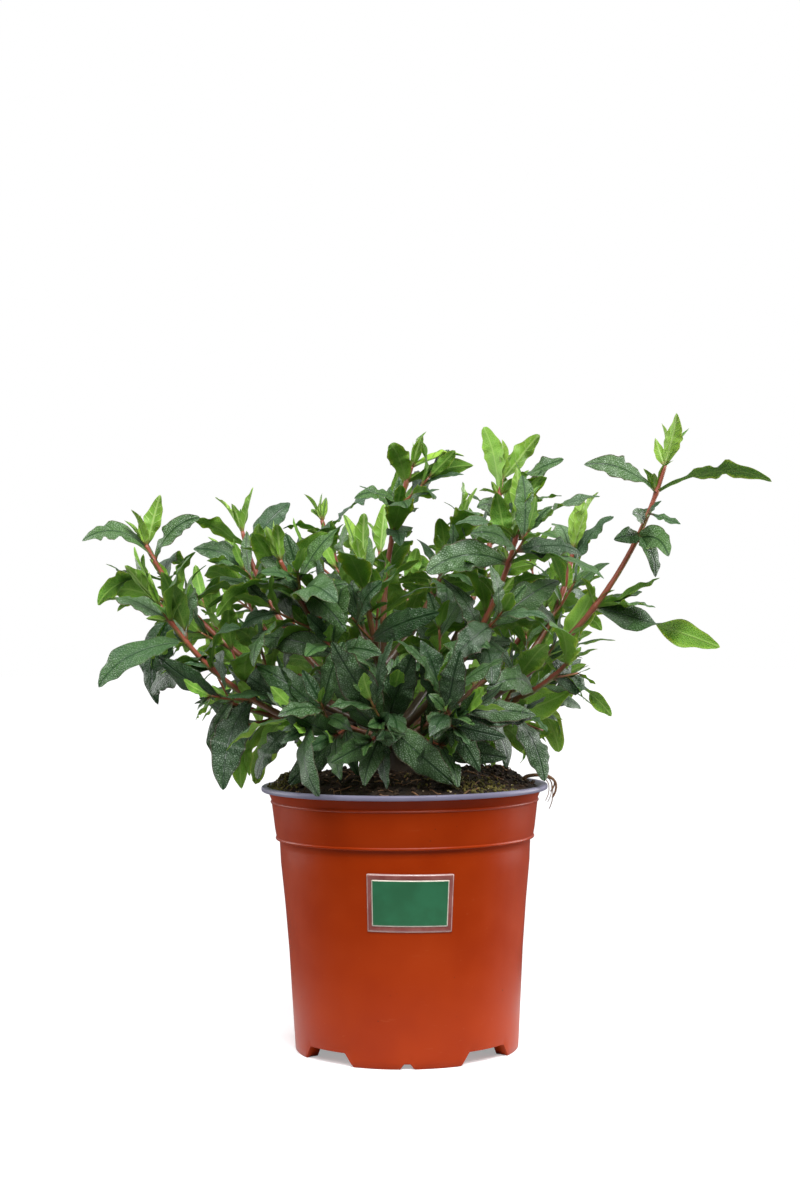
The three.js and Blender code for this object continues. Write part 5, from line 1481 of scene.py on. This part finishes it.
def leaf_pieces(growths):
    """All leaves, sorted by age and length into pieces that have the skins and the shape of their age."""
    leaves = [leaf for growth in growths.values() for leaf in growth["leaves"] + growth["inner"]]
    for leaf in leaves:
        # Leaves low in the crown have ripened further, and the old skin that many then take is darkened
        # partly as painted shade of the low crown.
        if leaf["rib"][0][2] < RIPE_HEIGHT and leaf["age"] > 1:
            leaf["age"] += 1
    let_grow(leaves)
    tufts = [leaf for growth in growths.values() for leaf in growth["tufts"] if "posed" not in leaf]

    # Colours: the darkest and the lightest green, the veins (darker on upper sides as painted shade in their
    # grooves), the bloom with its painted grey sheen, and the browned margin.
    young_top = leaf_skin("young_leaf_upper_cuticle", "#58862C", "#98C23C", "#3E6A24", "#98AC90", "#6A6A2C",
                          roughness=0.4, coat=0.16, bloom_and_sheen_share=0.28, relief_mm=0.3, smooth=True)
    young_under = leaf_skin("young_leaf_underside", "#6C9E2E", "#94C048", "#B2D278", "#96B864", "#6A6A2C",
                            roughness=0.55, coat=0.0, bloom_and_sheen_share=0.15, relief_mm=0.25, under=True,
                            smooth=True)
    grown_top = leaf_skin("grown_leaf_upper_cuticle", "#3A5F37", "#5A843B", "#2A472A", "#9CAE9C", "#54402A",
                          roughness=0.36, coat=0.2, bloom_and_sheen_share=0.5, relief_mm=0.55)
    # The old upper sides' dark greens are partly the leaves' own and partly painted shade of the low crown,
    # where most of them hang.
    old_top_with_painted_shade = leaf_skin("old_leaf_upper_cuticle_with_bloom", "#284B23", "#42682C", "#1C371C", "#90A48E",
                        "#4A3327", roughness=0.38, coat=0.16, bloom_and_sheen_share=0.46, relief_mm=0.62)
    grown_under = leaf_skin("grown_leaf_underside", "#589222", "#7FB437", "#9EC660", "#84A66C", "#54402A",
                            roughness=0.6, coat=0.0, bloom_and_sheen_share=0.18, relief_mm=0.25, under=True)
    young, grown, old = (young_top, young_under), (grown_top, grown_under), (old_top_with_painted_shade, grown_under)

    kinds = {}
    for age, first, last, shape, skins in (
            ("young", 0, 0, YOUNG_SHAPE, young), ("grown", 1, 2, GROWN_SHAPE, grown),
            ("old", 3, 9, OLD_SHAPE, old)):
        some = [leaf for leaf in leaves if first <= leaf["age"] <= last]
        large = [leaf for leaf in some if leaf["length"] > SMALL_LEAF]
        small = [leaf for leaf in some if leaf["length"] <= SMALL_LEAF]
        kinds[age + "_leaves"] = large, STATIONS["large"], shape, skins
        kinds[age + "_small_leaves"] = small, STATIONS["small"], shape, skins
    high = [leaf for leaf in tufts if leaf["rib"][0][2] >= YOUNG_TUFTS]
    low = [leaf for leaf in tufts if leaf["rib"][0][2] < YOUNG_TUFTS]
    kinds["upper_tufts"] = high, STATIONS["tuft"], YOUNG_SHAPE, young
    kinds["lower_tufts"] = low, STATIONS["tuft"], GROWN_SHAPE, grown
    return [leaf_piece(name, some, stations, shape, skins, seed)
            for seed, (name, (some, stations, shape, skins)) in enumerate(kinds.items())]


def main():
    """The plant from its leaves down to the pot and its label, in front of the photograph's camera."""
    photo_camera()
    pale_room()
    lamps()
    paper_floor()
    paths, growths = grown_shoots()
    masses = [name for name in frame["nodes"] if name.startswith("foliage_")]
    for piece in leaf_pieces(growths):
        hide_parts(*masses)
        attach(piece, "root")

    # The trunk's bark browns are darker than its own: painted shade under the crown.
    bark = stem_skin("trunk_bark_flaking_darkened_for_shade", "#40332A", "#4E3A2C", "#6A4A36", roughness=0.85, coat=0.0,
                     relief_mm=0.7)
    green_wood = stem_skin("young_stem_sticky_skin", "#54402E", "#80543A", "#9C503C", roughness=0.42,
                           coat=0.25, relief_mm=0.25)
    stems = stem_piece(SHOOTS, paths, growths, bark, green_wood)
    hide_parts("trunk", *[name for name in frame["nodes"] if name.startswith("bough_")])
    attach(stems, "root")
    twigs = twig_piece(growths, green_wood)
    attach(twigs, "root")

    shell = moulded_plastic("terracotta_polypropylene", "#8C2802", "#9E3404", "#AA5A38", roughness=0.34,
                            peel_mm=0.03)
    lining = moulded_plastic("grey_polypropylene_lining", "#6A677C", "#87859B", "#A6A4B6", roughness=0.34,
                             peel_mm=0.03)
    pot = pot_piece(shell, lining)
    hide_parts("pot")
    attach(pot, "root")

    peat = earth("peat_potting_soil", "#17100A", "#35261A", "#5E4A34", grain_mm=2.2)
    soil = soil_piece(peat)
    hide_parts("soil")
    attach(soil, "root")
    crumb = earth("peat_crumbs", "#1E150E", "#473525", "#6E573F", grain_mm=1.4)
    # Sand, broken by frost and water: pale matt grains.
    grit = plain_finish("sand_grit", "#A08A6C", "#C9B99C", size_mm=2.0, roughness=0.8)
    # Living moss: a soft, quite matt olive.
    moss = plain_finish("soil_moss", "#4A461C", "#74692C", size_mm=4.0, roughness=0.85)
    # Peat fibres and dried roots: matt brown, paler where the skin has split.
    fibre = plain_finish("peat_fibre", "#5A4029", "#80603F", size_mm=5.0, roughness=0.85)
    root_skin = plain_finish("dry_root_skin", "#6B4A30", "#8A6748", size_mm=6.0, roughness=0.75)
    for piece in litter_pieces(crumb, grit, moss, fibre, root_skin):
        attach(piece, "root")

    # Clear PVC film, welded round its edge: it is glossy, dulls the pot behind it and is pale at the weld.
    film = plain_finish("clear_sleeve_over_plastic", "#7A3F3A", "#8C5650", size_mm=14.0, roughness=0.22,
                        coat=0.6, relief_mm=0.3)
    film_edge = plain_finish("sleeve_welded_edge", "#A58480", "#B79A94", size_mm=6.0, roughness=0.25,
                             coat=0.5, relief_mm=0.2)
    # Printed card under the film: flat ink with the film's gloss over it.
    card = plain_finish("green_printed_card", "#1F5C3A", "#246643", size_mm=18.0, roughness=0.4,
                        coat=0.5, relief_mm=0.05)
    pale_line = plain_finish("pale_printed_line", "#B9AFA0", "#CFC7B8", size_mm=8.0, roughness=0.4,
                             coat=0.5, relief_mm=0.05)
    sleeve = wrapped_plate("sleeve_film", SLEEVE, stand_off=0.2, thickness=0.8,
                           materials=[film, film_edge], border=0.7, ridge=0.35)
    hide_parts("label_sleeve")
    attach(sleeve, "root")
    sheet = wrapped_plate("printed_card", CARD, stand_off=1.1, thickness=0.6,
                          materials=[card, pale_line], border=0.9)
    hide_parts("label_card")
    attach(sheet, "root")


main()
